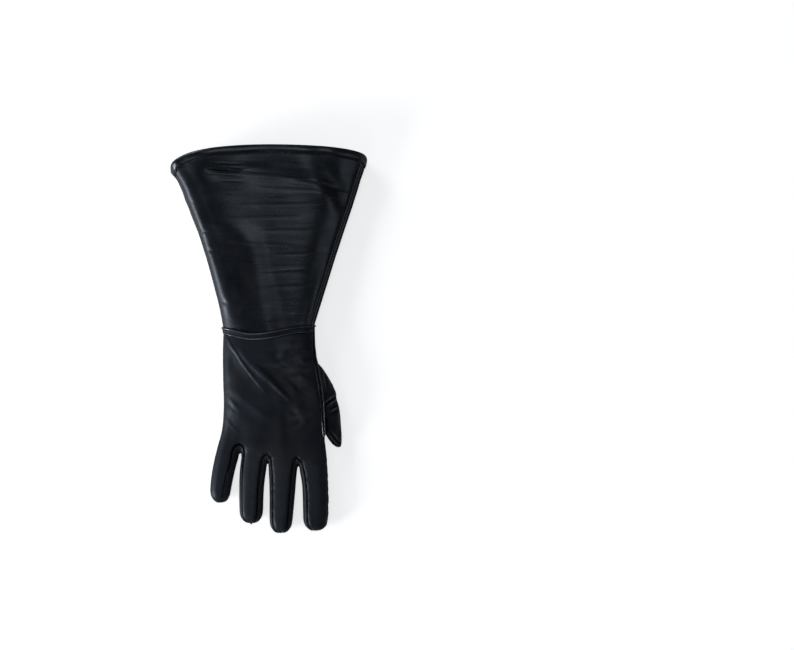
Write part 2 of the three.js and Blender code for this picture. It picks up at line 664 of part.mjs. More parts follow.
// A rounded strip laid along a seam, from its centre line, the way out and the way across
function welt(stations) {
  const half = WELT.width / 2;
  const [crown, flank] = [half * WELT.crown, WELT.proud * WELT.flank];
  const profile = [[-half, TRIM], [half, TRIM], [crown, flank], [0, WELT.proud], [-crown, flank]];
  return loft(stations.map(({ base, out, across }) => profile.map(([side, proud]) => base.clone()
    .addScaledVector(across, side).addScaledVector(out, proud))));
}

function cuffWelt() {
  const stations = [];
  for (let n = 0; n <= WELT.steps; n += 1) {
    const { start, end, look } = CUFF_WELT;
    const share = lerp(start, end, n / WELT.steps);
    const base = cuffPoint(share, 0);
    const along = cuffPoint(share + look, 0).sub(cuffPoint(share - look, 0)).normalize();
    const over = cuffPoint(share, CUFF_WELT.over).sub(base).normalize();
    const under = cuffPoint(share, CUFF_WELT.under).sub(base).normalize();
    const out = over.add(under).normalize().negate();
    stations.push({ base, out, across: along.cross(out).normalize() });
  }
  return welt(stations);
}

function handWelt() {
  const stations = [];
  const seam = (row) => rightWrap(row, 1);
  for (let n = 0; n <= WELT.steps; n += 1) {
    const { start, end, look } = HAND_WELT;
    const row = lerp(-HAND_ROWS + start, end, n / WELT.steps);
    const along = seam(row + look).sub(seam(row - look)).normalize();
    const over = rightWrap(row, HAND_WELT.over).sub(seam(row)).normalize();
    const under = rightWall(row, HAND_WELT.under).sub(seam(row)).normalize();
    const out = over.add(under).normalize().negate();
    stations.push({ base: seam(row), out, across: along.cross(out).normalize() });
  }
  return welt(stations);
}

const THUMB_MID = 0.45; // height of the thumb's widest line, as a share of its own
const THUMB_SIDE = 0.9; // how boxy the thumb's sides are

// Section of the thumb at a row of its table, closed all round, with a flat underside
function thumbRing(row, inset) {
  const half = row.half - inset;
  const mid = row.top * THUMB_MID;
  const middle = row.right - row.half;
  return Array.from({ length: THUMB_SIDES }, (_, n) => {
    const angle = n / THUMB_SIDES * 2 * Math.PI;
    const t = Math.sign(Math.cos(angle)) * Math.abs(Math.cos(angle)) ** THUMB_SIDE;
    const upper = mid + (row.top - mid - inset) * rise(t);
    const lower = Math.max(inset, mid - FLAT_SHARE * mid * rise(t, SOLE_ROUND));
    return point(middle + half * t, row.y, Math.sin(angle) >= 0 ? upper : lower);
  });
}

const thumbBody = (rows, inset) => loft(rows.map((row) => thumbRing(row, inset)).reverse());

const wasm = await Module();
wasm.setup();

function solid(geometry) {
  const plain = geometry.clone();
  plain.deleteAttribute('normal');
  plain.deleteAttribute('uv');
  const merged = mergeVertices(plain, SAME_POINT);
  const made = new wasm.Mesh({
    numProp: 3,
    vertProperties: new Float32Array(merged.attributes.position.array),
    triVerts: new Uint32Array(merged.index.array),
  });
  return new wasm.Manifold(made);
}

function geometryOf(manifold) {
  const mesh = manifold.getMesh();
  const geometry = new THREE.BufferGeometry();
  geometry.setAttribute('position', new THREE.BufferAttribute(new Float32Array(mesh.vertProperties), 3));
  geometry.setIndex(new THREE.BufferAttribute(new Uint32Array(mesh.triVerts), 1));
  return geometry;
}

const skin = new Skin();
for (let i = 0; i < FINGERS.length; i += 1) {
  skin.add('back_panel', strip('back', i));
  skin.add('palm_panel', strip('palm', i), true);
}
const turns = (count, from, to) => Array.from({ length: count + 1 }, (_, n) => lerp(from, to, n / count));
skin.add('back_panel', wrap(leftWrap, turns(WRAP_COLUMNS * 2, 2, 0), FINGERS[0]));
skin.add('back_panel', wrap(rightWrap, turns(WRAP_COLUMNS, 0, 1), FINGERS[3]));
skin.add('palm_panel', wrap(rightWall, turns(STRIP_COLUMNS, 0, 1), FINGERS[3]));
const FOURCHETTES = ['fourchette_little_ring', 'fourchette_ring_middle', 'fourchette_middle_index'];
FOURCHETTES.forEach((name, fork) => skin.add(name, fourchette(fork), true));
skin.findNormals();

// The thumb is hollow up to the last two of its sections, and open into the hand
const handSpace = solid(skin.body(TRIM));
const hollow = THUMB.slice(0, -2);
const thumbOutside = solid(thumbBody(THUMB, 0));
const thumbInside = solid(thumbBody(hollow, LEATHER));
const thumbHole = solid(thumbBody(hollow, LEATHER + TRIM));
const thumb = thumbOutside.subtract(thumbInside).subtract(handSpace);
const palm = solid(skin.panel('palm_panel', PALM_SEAM)).subtract(thumbHole);

const BLACK_LEATHER = { color: 0x14161b, roughness: 0.42, metalness: 0 };
const BOUND_EDGE = { color: 0x181a1f, roughness: 0.38, metalness: 0 };
const glove = new THREE.Group();

function sew(name, geometry, finish = BLACK_LEATHER) {
  geometry.computeVertexNormals();
  const mesh = new THREE.Mesh(geometry, new THREE.MeshStandardMaterial(finish));
  mesh.name = name;
  glove.add(mesh);
}

sew('cuff', cuff());
sew('cuff_hem', cuffHem(), BOUND_EDGE);
sew('cuff_side_welt', cuffWelt(), BOUND_EDGE);
sew('wrist_band', wristBand(), BOUND_EDGE);
sew('back_panel', skin.panel('back_panel'));
sew('palm_panel', geometryOf(palm));
for (const name of FOURCHETTES) sew(name, skin.panel(name));
sew('hand_side_welt', handWelt(), BOUND_EDGE);
sew('thumb', geometryOf(thumb));

// The glove stands over the origin by the middle of its outline
const box = new THREE.Box3().setFromObject(glove);
glove.position.set(-(box.min.x + box.max.x) / 2, -(box.min.y + box.max.y) / 2, -box.min.z);

export default glove;
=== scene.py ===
"""A black leather gauntlet glove for the right hand, laid palm down and seen from above."""
import math

import bmesh
import bpy
from mathutils import Matrix, Vector, kdtree, noise
from mathutils.bvhtree import BVHTree


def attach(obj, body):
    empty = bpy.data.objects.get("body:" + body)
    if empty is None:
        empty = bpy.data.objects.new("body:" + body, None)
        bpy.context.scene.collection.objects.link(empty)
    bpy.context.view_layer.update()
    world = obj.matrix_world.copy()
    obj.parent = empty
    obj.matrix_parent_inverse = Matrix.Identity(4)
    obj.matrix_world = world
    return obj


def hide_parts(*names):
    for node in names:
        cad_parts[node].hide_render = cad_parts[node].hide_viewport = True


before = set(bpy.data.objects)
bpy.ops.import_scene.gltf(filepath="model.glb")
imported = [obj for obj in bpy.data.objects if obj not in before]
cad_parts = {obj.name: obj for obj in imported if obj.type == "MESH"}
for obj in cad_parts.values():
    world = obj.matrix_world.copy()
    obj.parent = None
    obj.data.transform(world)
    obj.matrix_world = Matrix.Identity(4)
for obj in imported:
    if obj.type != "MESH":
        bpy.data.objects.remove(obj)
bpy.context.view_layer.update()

# The table: a plain pale top that the glove lies on, wide enough to fill every view. It is matt,
# and to the eye it glows a little, so that it looks white but throws no more light on the glove.
MM = 0.001
BLACK = (0, 0, 0, 1)
TABLE_HALF = 8.0
TABLE_COLOUR = (0.96, 0.94, 0.92, 1)
TABLE_GLOW = (0.69, 0.69, 0.69, 1)
TABLE_ROUGHNESS = 0.7
TABLE_SHINE = 0.2
SHARP_TURN = 50


class Shade:
    """A shader socket that is used like a number: its sums and products become Math nodes"""

    def __init__(self, tree, socket=None):
        self.tree = tree
        self.socket = socket

    def node(self, kind, settings=None, inputs=None, output=0):
        """Another node of the same material: its settings first, then what goes into it"""
        made = self.tree.nodes.new(kind)
        for name, value in (settings or {}).items():
            setattr(made, name, value)
        for name, value in (inputs or {}).items():
            if isinstance(value, Shade):
                self.tree.links.new(value.socket, made.inputs[name])
            else:
                made.inputs[name].default_value = value
        return Shade(self.tree, made.outputs[output])

    def into(self, node, name):
        """Link the socket to an input of a node"""
        self.tree.links.new(self.socket, node.inputs[name])

    def blend(self, first, second):
        """A colour between two others: the first where this is 0, the second where it is 1"""
        return self.node("ShaderNodeMix", {"data_type": "RGBA", "clamp_factor": True},
                         {0: self, 6: first, 7: second}, 2)

    def maths(self, operation, first, second):
        return self.node("ShaderNodeMath", {"operation": operation}, {0: first, 1: second})

    def __add__(self, other):
        return self.maths("ADD", self, other)

    def __sub__(self, other):
        return self.maths("SUBTRACT", self, other)

    def __rsub__(self, other):
        return self.maths("SUBTRACT", other, self)

    def __mul__(self, other):
        return self.maths("MULTIPLY", self, other)

    __radd__ = __add__
    __rmul__ = __mul__


def add_object(name, mesh):
    """A new object of the scene, at the origin"""
    thing = bpy.data.objects.new(name, mesh)
    bpy.context.collection.objects.link(thing)
    return thing


def to_object(name, shape):
    """The mesh of a bmesh as a smooth object, with its sharp turns kept crisp"""
    for face in shape.faces:
        face.smooth = True
    for edge in shape.edges:
        edge.smooth = edge.calc_face_angle(0) < math.radians(SHARP_TURN)
    mesh = bpy.data.meshes.new(name)
    shape.to_mesh(mesh)
    shape.free()
    return add_object(name, mesh)


table = bmesh.new()
bmesh.ops.create_grid(table, x_segments=1, y_segments=1, size=TABLE_HALF)
table_top = to_object("table_top", table)
table_finish = bpy.data.materials.new("pale table")
table_finish.use_nodes = True
table_shader = table_finish.node_tree.nodes["Principled BSDF"]
table_shader.inputs["Base Color"].default_value = TABLE_COLOUR
table_shader.inputs["Roughness"].default_value = TABLE_ROUGHNESS
table_shader.inputs["Specular IOR Level"].default_value = TABLE_SHINE
table_shader.inputs["Emission Strength"].default_value = 1.0
to_the_eye = Shade(table_finish.node_tree).node("ShaderNodeLightPath", output="Is Camera Ray")
to_the_eye.blend(BLACK, TABLE_GLOW).into(table_shader, "Emission Color")
table_top.data.materials.append(table_finish)

# The studio: soft boxes low at the left and beyond the rim, which draw the bright edges of the
# leather, weak ones at the right and near the fingers, and a wide one above that lays a soft sheen
# on the cuff. The room around them is dim.
SOFT_BOXES = [
    {"name": "left box", "at": (-1.95, -0.9, 0.5), "wide": 1.0, "deep": 1.0, "power": 46},
    {"name": "far box", "at": (-1.3, 1.8, 0.7), "wide": 1.0, "deep": 1.0, "power": 20},
    {"name": "right box", "at": (2.3, -0.9, 1.9), "wide": 1.4, "deep": 1.4, "power": 4},
    {"name": "near box", "at": (-0.9, -1.7, 1.8), "wide": 0.7, "deep": 0.7, "power": 2.6},
    {"name": "sheen box", "at": (0.25, 0.45, 3.0), "wide": 1.6, "deep": 1.0, "power": 7.0},
]
LIGHT_COLOUR = (0.9, 0.94, 1.0)
ROOM_COLOUR = (0.75, 0.87, 1, 1)
ROOM_LIGHT = 0.06
BACKDROP = (0.9, 0.9, 0.9, 1)
for box in SOFT_BOXES:
    lamp = bpy.data.lights.new(box["name"], "AREA")
    lamp.shape = "RECTANGLE"
    lamp.size = box["wide"]
    lamp.size_y = box["deep"]
    lamp.energy = box["power"]
    lamp.color = LIGHT_COLOUR
    soft_box = add_object(box["name"], lamp)
    soft_box.location = box["at"]
    soft_box.visible_camera = False
    soft_box.rotation_euler = (-Vector(box["at"])).to_track_quat("-Z", "Y").to_euler()

room = bpy.data.worlds.new("studio")
room.use_nodes = True
room_nodes = room.node_tree.nodes
room_nodes["Background"].inputs["Color"].default_value = ROOM_COLOUR
room_nodes["Background"].inputs["Strength"].default_value = ROOM_LIGHT
dim = Shade(room.node_tree, room_nodes["Background"].outputs[0])
pale = dim.node("ShaderNodeBackground", inputs={"Color": BACKDROP})
to_the_eye = dim.node("ShaderNodeLightPath", output="Is Camera Ray")
either = dim.node("ShaderNodeMixShader", inputs={0: to_the_eye, 1: dim, 2: pale})
either.into(room_nodes["World Output"], "Surface")
bpy.context.scene.world = room
bpy.context.scene.view_settings.view_transform = "Standard"

# The camera: straight above, with one millimetre of the glove to a pixel. The glove lies to the
# left of the middle of the view.
CAMERA_AT = (0.1275, 0.0145, 2.4)
VIEW_WIDTH = 0.794
GLOVE_MIDDLE_Z = 0.012
SENSOR_WIDTH = 36
lens = bpy.data.cameras.new("camera")
lens.sensor_width = SENSOR_WIDTH
lens.lens = SENSOR_WIDTH * (CAMERA_AT[2] - GLOVE_MIDDLE_Z) / VIEW_WIDTH
camera = add_object("camera", lens)
camera.location = CAMERA_AT
bpy.context.scene.camera = camera

# The cuff: a flared tube of stiffened black leather. It lies flat, with a rounded fold at the
# little-finger side, a sewn edge at the thumb side, fine stretch lines across it and a few creases
# where it has been folded.
CUFF_WALL = 2.0
RIM_HALF_WIDTH = 90
FACING_UP = 60
SAME_POINT = 0.02
JOINED = {"turn": 40, "shape": 60}
FLATTEN = {"middle": 5.0, "fold_side": 4.0, "seam_side": 1.4}
SLUMP = {"x": 6.0, "y": 70.0, "slant": -0.25, "top": 118.0, "fade": 24.0}
FOLD_SIDE = {"inset": 7.0, "width": 6.2, "height": 3.2, "full_y": 80, "calm": 12.0}
SEAM_SIDE = {"inset": 6.0, "width": 6.0, "height": 1.1, "still": 14.0}
# Painted shade on the rounded fold, strongest near the wrist: it dims the fold's bright strip and makes
# it rougher.
FOLD_SHADE_AND_DULL = {"inset": 6.0, "width": 7.0, "wrist": 0.55, "rim": 0.36, "y": 12, "run": 55}
CUFF_ROWS = {"step": 3.6, "first": 4, "end": 50, "snap": 0.9}
CUFF_ROUNDING = 2
CUFF_EDGE_CREASE = {"x": 40, "sharp": 0.9}
CUFF_RIPPLE = {"size": 9, "seed": 2.0, "height": 0.05}
CUFF_SAG = [
    {"size": 42, "seed": 5.0, "height": 0.5},
    {"size": 15, "seed": 9.0, "height": 0.12},
]
# Painted shade: a crease dip this deep, in mm, is painted fully dark.
CREASE_SHADE_DEPTH = 0.7
CUFF_ABOVE_TABLE = 0.05
CUFF_EDGES = [
    {"y": 15, "fold": -46.9, "seam": 44.7},
    {"y": 32, "fold": -49.8, "seam": 49.9},
    {"y": 56, "fold": -55.7, "seam": 57.4},
    {"y": 81, "fold": -62.2, "seam": 65.1},
    {"y": 106, "fold": -70.2, "seam": 73.3},
    {"y": 132, "fold": -80.3, "seam": 82.1},
    {"y": 150, "fold": -87.0, "seam": 87.8},
    {"y": 160, "fold": -92.2, "seam": 90.7},
    {"y": 168, "fold": -97.6, "seam": 93.6},
    {"y": 194, "fold": -105.0, "seam": 101.0},
]
CUFF_CREASES = [
    {"x0": -61, "y0": 168.8, "x1": -28, "y1": 166.3, "width": 0.9, "height": -1.4},
    {"x0": -34, "y0": 166.5, "x1": 30, "y1": 159, "width": 1.0, "height": -0.4},
    {"x0": 26, "y0": 158, "x1": 62, "y1": 153, "width": 1.1, "height": -0.4},
    {"x0": 52, "y0": 154, "x1": 84, "y1": 146, "width": 1.1, "height": -0.5},
    {"x0": -56, "y0": 171.2, "x1": -24, "y1": 170, "width": 0.9, "height": 0.4},
    {"x0": -52, "y0": 174.6, "x1": -28, "y1": 173.6, "width": 0.9, "height": 0.3},
    {"x0": -60, "y0": 164.5, "x1": -30, "y1": 163.5, "width": 0.9, "height": 0.35},
    {"x0": -50, "y0": 161, "x1": -24, "y1": 160, "width": 0.9, "height": -0.3},
    {"x0": -46, "y0": 157.5, "x1": -22, "y1": 156.5, "width": 0.9, "height": 0.25},
    {"x0": -10, "y0": 151, "x1": 60, "y1": 147, "width": 1.2, "height": -0.2},
    {"x0": -30, "y0": 133, "x1": 52, "y1": 135, "width": 1.3, "height": -0.12},
    {"x0": -46, "y0": 120, "x1": 30, "y1": 122, "width": 1.4, "height": -0.12},
    {"x0": -6, "y0": 108, "x1": 58, "y1": 109, "width": 1.3, "height": -0.14},
    {"x0": -40, "y0": 96, "x1": 20, "y1": 94, "width": 1.4, "height": -0.12},
    {"x0": 6, "y0": 84, "x1": 52, "y1": 86, "width": 1.3, "height": -0.12},
    {"x0": -8, "y0": 67, "x1": 44, "y1": 71, "width": 1.2, "height": 0.14},
    {"x0": 0, "y0": 52, "x1": 44, "y1": 54, "width": 1.4, "height": -0.12},
]
CUFF_FOLDS = [
    {"x0": 30, "y0": 184, "x1": 70, "y1": 118, "width": 9, "height": 1.1},
    {"x0": 50, "y0": 190, "x1": 84, "y1": 118, "width": 8, "height": -1.6},
    {"x0": -32, "y0": 182, "x1": -28, "y1": 148, "width": 13, "height": 0.9},
    {"x0": -38, "y0": 108, "x1": 4, "y1": 22, "width": 15, "height": -0.9},
    {"x0": -67, "y0": 108.5, "x1": -60, "y1": 107.5, "width": 1.2, "height": -0.5},
    {"x0": -59, "y0": 90, "x1": -54, "y1": 88, "width": 1.6, "height": -0.6},
    {"x0": -50, "y0": 41, "x1": -42, "y1": 36, "width": 2.2, "height": -0.7},
]
LEATHER_COLOUR = (0.0044, 0.0052, 0.0078)
# Painted highlight: the pale colour laid on ridges and patches in place of bright lines of light.
PAINTED_HIGHLIGHT_COLOUR = (0.15, 0.16, 0.18, 1)
SHEEN_COLOUR = (0.8, 0.88, 1.0, 1)
COOL_LEATHER = (0.85, 1.0, 1.15)
WARM_LEATHER = (1.15, 1.01, 0.9)
PEBBLE = {"size": 1.15, "rounding": 0.32, "drift_scale": 260.0, "drift": 0.6}
STRETCH_LINES = (1, 14, 6)
DYE_DRIFT = {"size": 34, "cool_below": 0.35, "contrast": 3.3}
LEATHER_TONE = 0.86
BUMP = {"strength": 0.8, "depth": 0.9}
# Painted shade where the groove mark is above 0: how much darker the colour gets, and how much rougher.
GROOVE_SHADE_AND_ROUGHNESS = {"darker": 0.8, "rougher": 0.5}
POLISH_ROUGHNESS = 0.28
GRAIN = [
    {"of": "pebble", "mean": 0.7, "bump": 0.013, "polish": 0, "tone": 0.22},
    {"of": "fine", "mean": 0.5, "bump": 0.012, "polish": 0.04, "tone": 0},
    {"of": "stretch", "mean": 0.5, "bump": 0.55, "polish": 0.3, "tone": 0.5},
    {"of": "mottle", "mean": 0.5, "bump": 0.05, "polish": 0, "tone": 0.3},
    {"of": "patches", "mean": 0.5, "bump": 0.12, "polish": 0.24, "tone": 0.3},
]


def blotches(place, size, detail=3.0):
    """Soft blotches of a size in millimetres, from 0 to 1"""
    inputs = {"Vector": place, "Scale": 1 / (size * MM), "Detail": detail, "Roughness": 0.55}
    return place.node("ShaderNodeTexNoise", {}, inputs, "Fac")


def leather(name, colour, roughness, stretch=0.0, gloss=0.15, shine=0.5):
    """Black dressed leather: pebbled pores, uneven dye and polish, painted shade in seams and creases,
    which are also rougher, and painted highlights on ridges
    """
    skin = bpy.data.materials.new(name)
    skin.use_nodes = True
    shader = skin.node_tree.nodes["Principled BSDF"]
    start = Shade(skin.node_tree)
    place = start.node("ShaderNodeTexCoord", output="Object")
    # The groove mark: above 0 it paints shade into seams, creases and grooves; below 0 it paints
    # highlights.
    groove = start.node("ShaderNodeAttribute", {"attribute_name": "groove"}, output="Fac")
    sunk = groove.maths("MAXIMUM", groove, 0)
    painted_highlight = groove.maths("MAXIMUM", groove * -1, 0)

    drift = place.node("ShaderNodeTexNoise", {}, {"Vector": place, "Scale": PEBBLE["drift_scale"]},
                       "Color")
    pushed = place.node("ShaderNodeVectorMath", {"operation": "MULTIPLY_ADD"},
                        {0: drift, 1: (PEBBLE["drift"] * MM,) * 3, 2: place})
    cells = place.node("ShaderNodeTexVoronoi", {"feature": "DISTANCE_TO_EDGE"},
                       {"Vector": pushed, "Scale": 1 / (PEBBLE["size"] * MM)}, "Distance")
    pebble = place.node("ShaderNodeMapRange", {"interpolation_type": "SMOOTHSTEP"},
                        {"Value": cells, "From Max": PEBBLE["rounding"]}, "Result")
    squeezed = place.node("ShaderNodeMapping", {}, {"Vector": place, "Scale": STRETCH_LINES})
    patterns = {"pebble": pebble, "fine": blotches(place, 2.6), "stretch": blotches(squeezed, 26, 2.5),
                "mottle": blotches(place, 5, 2.0), "patches": blotches(place, 17, 2.0)}

    height, polish, tone = 0, roughness, LEATHER_TONE
    for grain in GRAIN:
        strength = stretch if grain["of"] == "stretch" else 1
        pattern = patterns[grain["of"]]
        height = pattern * (grain["bump"] * strength) + height
        if grain["polish"] * strength:
            polish = (pattern - grain["mean"]) * (grain["polish"] * strength) + polish
        if grain["tone"] * strength:
            tone = (pattern - grain["mean"]) * (grain["tone"] * strength) + tone
    bump = place.node("ShaderNodeBump", {}, {"Strength": BUMP["strength"], "Height": height,
                                             "Distance": BUMP["depth"] * MM}, "Normal")

    cool = (*(part * tint for part, tint in zip(colour, COOL_LEATHER)), 1)
    warm = (*(part * tint for part, tint in zip(colour, WARM_LEATHER)), 1)
    drifts = blotches(place, DYE_DRIFT["size"], 2.0) - DYE_DRIFT["cool_below"]
    dye = (drifts * DYE_DRIFT["contrast"]).blend(cool, warm)
    # Painted shade: the colour is darkened where the groove mark is above 0.
    dye_with_painted_shade = (tone * (1 - sunk * GROOVE_SHADE_AND_ROUGHNESS["darker"])).blend(BLACK, dye)
    # Painted highlight: the colour turns pale grey where the groove mark is below 0.
    painted_highlight.blend(dye_with_painted_shade, PAINTED_HIGHLIGHT_COLOUR).into(shader, "Base Color")
    (polish + sunk * GROOVE_SHADE_AND_ROUGHNESS["rougher"]).into(shader, "Roughness")
    (gloss * (1 - sunk)).into(shader, "Coat Weight")
    bump.into(shader, "Normal")
    shader.inputs["Coat Roughness"].default_value = POLISH_ROUGHNESS
    shader.inputs["Specular IOR Level"].default_value = shine
    shader.inputs["Specular Tint"].default_value = SHEEN_COLOUR
    return skin


def outer_sheet(node, seed, turn=FACING_UP):
    """The outer face of a CAD shell: all that is reached from one face without a sharp turn"""
    sheet = bmesh.new()
    sheet.from_mesh(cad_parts[node].data)
    bmesh.ops.remove_doubles(sheet, verts=sheet.verts, dist=SAME_POINT * MM)
    sheet.normal_update()
    first = max(sheet.faces, key=seed)
    reached = {first}
    front = [first]
    while front:
        face = front.pop()
        for edge in face.edges:
            for other in edge.link_faces:
                if other not in reached and face.normal.angle(other.normal, 0) < math.radians(turn):
                    reached.add(other)
                    front.append(other)
    bmesh.ops.delete(sheet, geom=[f for f in sheet.faces if f not in reached], context="FACES")
    bmesh.ops.join_triangles(sheet, faces=sheet.faces,
                             angle_face_threshold=math.radians(JOINED["turn"]),
                             angle_shape_threshold=math.radians(JOINED["shape"]))
    return sheet


def worked(shape, kind, **settings):
    """The shape once a modifier has worked on it"""
    rough = to_object("rough", shape)
    tool = rough.modifiers.new("tool", kind)
    for name, value in settings.items():
        setattr(tool, name, value)
    done = rough.evaluated_get(bpy.context.evaluated_depsgraph_get())
    mesh = bpy.data.meshes.new_from_object(done)
    made = bmesh.new()
    made.from_mesh(mesh)
    made.normal_update()
    bpy.data.objects.remove(rough)
    bpy.data.meshes.remove(mesh)
    return made


def rounded(shape, levels):
    """The shape with its faces rounded into one another"""
    return worked(shape, "SUBSURF", levels=levels, render_levels=levels)


def smoothed(shape, verts, passes):
    """Let some points of a shape settle between their neighbours"""
    for _ in range(passes):
        bmesh.ops.smooth_vert(shape, verts=verts, factor=0.5, use_axis_x=True, use_axis_y=True,
                              use_axis_z=True)
    shape.normal_update()


def walled(sheet, wall):
    """A sheet of leather given its thickness, inwards"""
    return worked(sheet, "SOLIDIFY", thickness=wall * MM, offset=-1)


def within(value, low=0.0, high=1.0):
    """The value, or the nearer of two limits where it lies past them"""
    return min(max(value, low), high)


def hump(away):
    """A smooth hump: 1 in the middle, and almost 0 at two widths away from it"""
    return math.exp(-away ** 2)


def fold_height(folds, at):
    """Height in metres that soft ridges and dips between two points give the leather"""
    height = 0
    x, y = at.x / MM, at.y / MM
    for fold in folds:
        dx, dy = fold["x1"] - fold["x0"], fold["y1"] - fold["y0"]
        along = within(((x - fold["x0"]) * dx + (y - fold["y0"]) * dy) / (dx * dx + dy * dy))
        away = math.hypot(x - fold["x0"] - along * dx, y - fold["y0"] - along * dy)
        if away < 3 * fold["width"]:
            fade = math.sin(math.pi * (0.12 + 0.76 * along))
            height += fold["height"] * fade * hump(away / fold["width"])
    return height * MM


def waves(at, size, seed=0.0):
    """Even noise between about -1 and 1, with a size in millimetres"""
    return noise.noise(at / (size * MM) + Vector((seed, seed * 2, seed * 3)))


def uneven(at, rows):
    """The sum in mm of several such noises, each with its size, seed and height"""
    return sum(waves(at, row["size"], row["seed"]) * row["height"] for row in rows)


def shaded(piece, finish, node=None):
    """A finished piece: its leather, and the CAD node whose place it takes, if any"""
    piece.data.materials.clear()
    piece.data.materials.append(finish)
    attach(piece, "root")
    if node:
        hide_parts(node)


def loop_frames(shape, highest):
    """One open edge of a sheet, in order: each point, its way out, and its way into the sheet"""
    open_edges = {edge for edge in shape.edges if edge.is_boundary}
    first = (max if highest else min)((v for e in open_edges for v in e.verts), key=lambda v: v.co.y)
    ring, last = [first], None
    while True:
        nexts = [e.other_vert(ring[-1]) for e in ring[-1].link_edges if e in open_edges]
        nexts = [v for v in nexts if v is not last]
        last = ring[-1]
        if nexts[0] is first or (len(ring) > 2 and first in nexts):
            break
        ring.append(nexts[0])
    frames = []
    for n, vert in enumerate(ring):
        run = (ring[(n + 1) % len(ring)].co - ring[n - 1].co).normalized()
        into = vert.normal.cross(run).normalized()
        if (into.y > 0) == highest:
            into = -into
        frames.append((vert.co.copy(), vert.normal.copy(), into))
    return frames


def grown_ring(shape, edges, place):
    """A ring of edges extruded once: the new edges, and what each new point carries on"""
    grown = bmesh.ops.extrude_edge_only(shape, edges=edges)["geom"]
    moved = {}
    for vert in grown:
        if isinstance(vert, bmesh.types.BMVert):
            source = next(e.other_vert(vert) for e in vert.link_edges if e.other_vert(vert) in place)
            moved[vert] = place[source]
    edges = [e for e in grown if isinstance(e, bmesh.types.BMEdge) and all(v in moved for v in e.verts)]
    return edges, moved


def collar(frames, profile):
    """A closed band round a loop: its corners at a frame, as into and out in mm, and the painted light
    of each: shade above 0, highlight below 0
    """
    band = bmesh.new()
    depth = band.verts.layers.float.new("groove")
    corners = [profile(at, out) for at, out, _ in frames]

    def put(vert, n, corner):
        at, out, into = frames[n]
        step, rise, painted_light = corners[n][corner]
        vert.co = at + into * step * MM + out * rise * MM
        vert[depth] = painted_light

    index = {band.verts.new(at): n for n, (at, _, _) in enumerate(frames)}
    verts = list(index)
    for vert, n in index.items():
        put(vert, n, 0)
    edges = [band.edges.new((v, verts[(n + 1) % len(verts)])) for n, v in enumerate(verts)]
    first = edges
    for corner in range(1, len(corners[0])):
        edges, index = grown_ring(band, edges, index)
        for vert, n in index.items():
            put(vert, n, corner)
    bmesh.ops.bridge_loops(band, edges=first + edges)
    bmesh.ops.recalc_face_normals(band, faces=band.faces)
    return band


def cuff_edges(y):
    """Where the fold and the seam of the cuff lie at a distance along it, in mm"""
    row = 0
    while row < len(CUFF_EDGES) - 2 and y > CUFF_EDGES[row + 1]["y"]:
        row += 1
    low, high = CUFF_EDGES[row], CUFF_EDGES[row + 1]
    share = (y - low["y"]) / (high["y"] - low["y"])
    return tuple(low[side] + (high[side] - low[side]) * share for side in ("fold", "seam"))


cuff_sheet = outer_sheet("cuff", lambda f: f.calc_center_median().z)
for row in range(CUFF_ROWS["first"], CUFF_ROWS["end"]):
    cut = list(cuff_sheet.verts) + list(cuff_sheet.edges) + list(cuff_sheet.faces)
    at = (0, row * CUFF_ROWS["step"] * MM, 0)
    bmesh.ops.bisect_plane(cuff_sheet, geom=cut, dist=CUFF_ROWS["snap"] * MM, plane_co=at,
                           plane_no=(0, 1, 0))
crease = cuff_sheet.edges.layers.float.new("crease_edge")
for edge in cuff_sheet.edges:
    middle = (edge.verts[0].co + edge.verts[1].co) / 2
    run = edge.verts[1].co - edge.verts[0].co
    if abs(run.y) > 0.6 * run.length and edge.calc_face_angle(0) > 0 and not edge.is_boundary:
        faces = [face.normal for face in edge.link_faces]
        if middle.x > CUFF_EDGE_CREASE["x"] * MM and faces[0].z * faces[1].z < 0:
            edge[crease] = CUFF_EDGE_CREASE["sharp"]
cuff_sheet = rounded(cuff_sheet, CUFF_ROUNDING)

for vert in cuff_sheet.verts:
    x, y = vert.co.x / MM, vert.co.y / MM
    left, right = cuff_edges(y)
    half = (right - left) / 2
    share = min(abs(x - (left + right) / 2) / half, 1)
    if vert.normal.z > 0:
        raised = FLATTEN["seam_side" if x > (left + right) / 2 else "fold_side"]
        flat = raised * 4 * share ** 2 * (1 - share ** 2) - FLATTEN["middle"] * (1 - share ** 2) ** 2
        beside = within((SLUMP["x"] + (y - SLUMP["y"]) * SLUMP["slant"] - x) / SLUMP["fade"])
        below = within((SLUMP["top"] - y) / SLUMP["fade"])
        slumped = beside ** 2 * (3 - 2 * beside) * below ** 2 * (3 - 2 * below)
        vert.co.z += flat * MM * half / RIM_HALF_WIDTH * (1 - slumped)
cuff_sheet.normal_update()

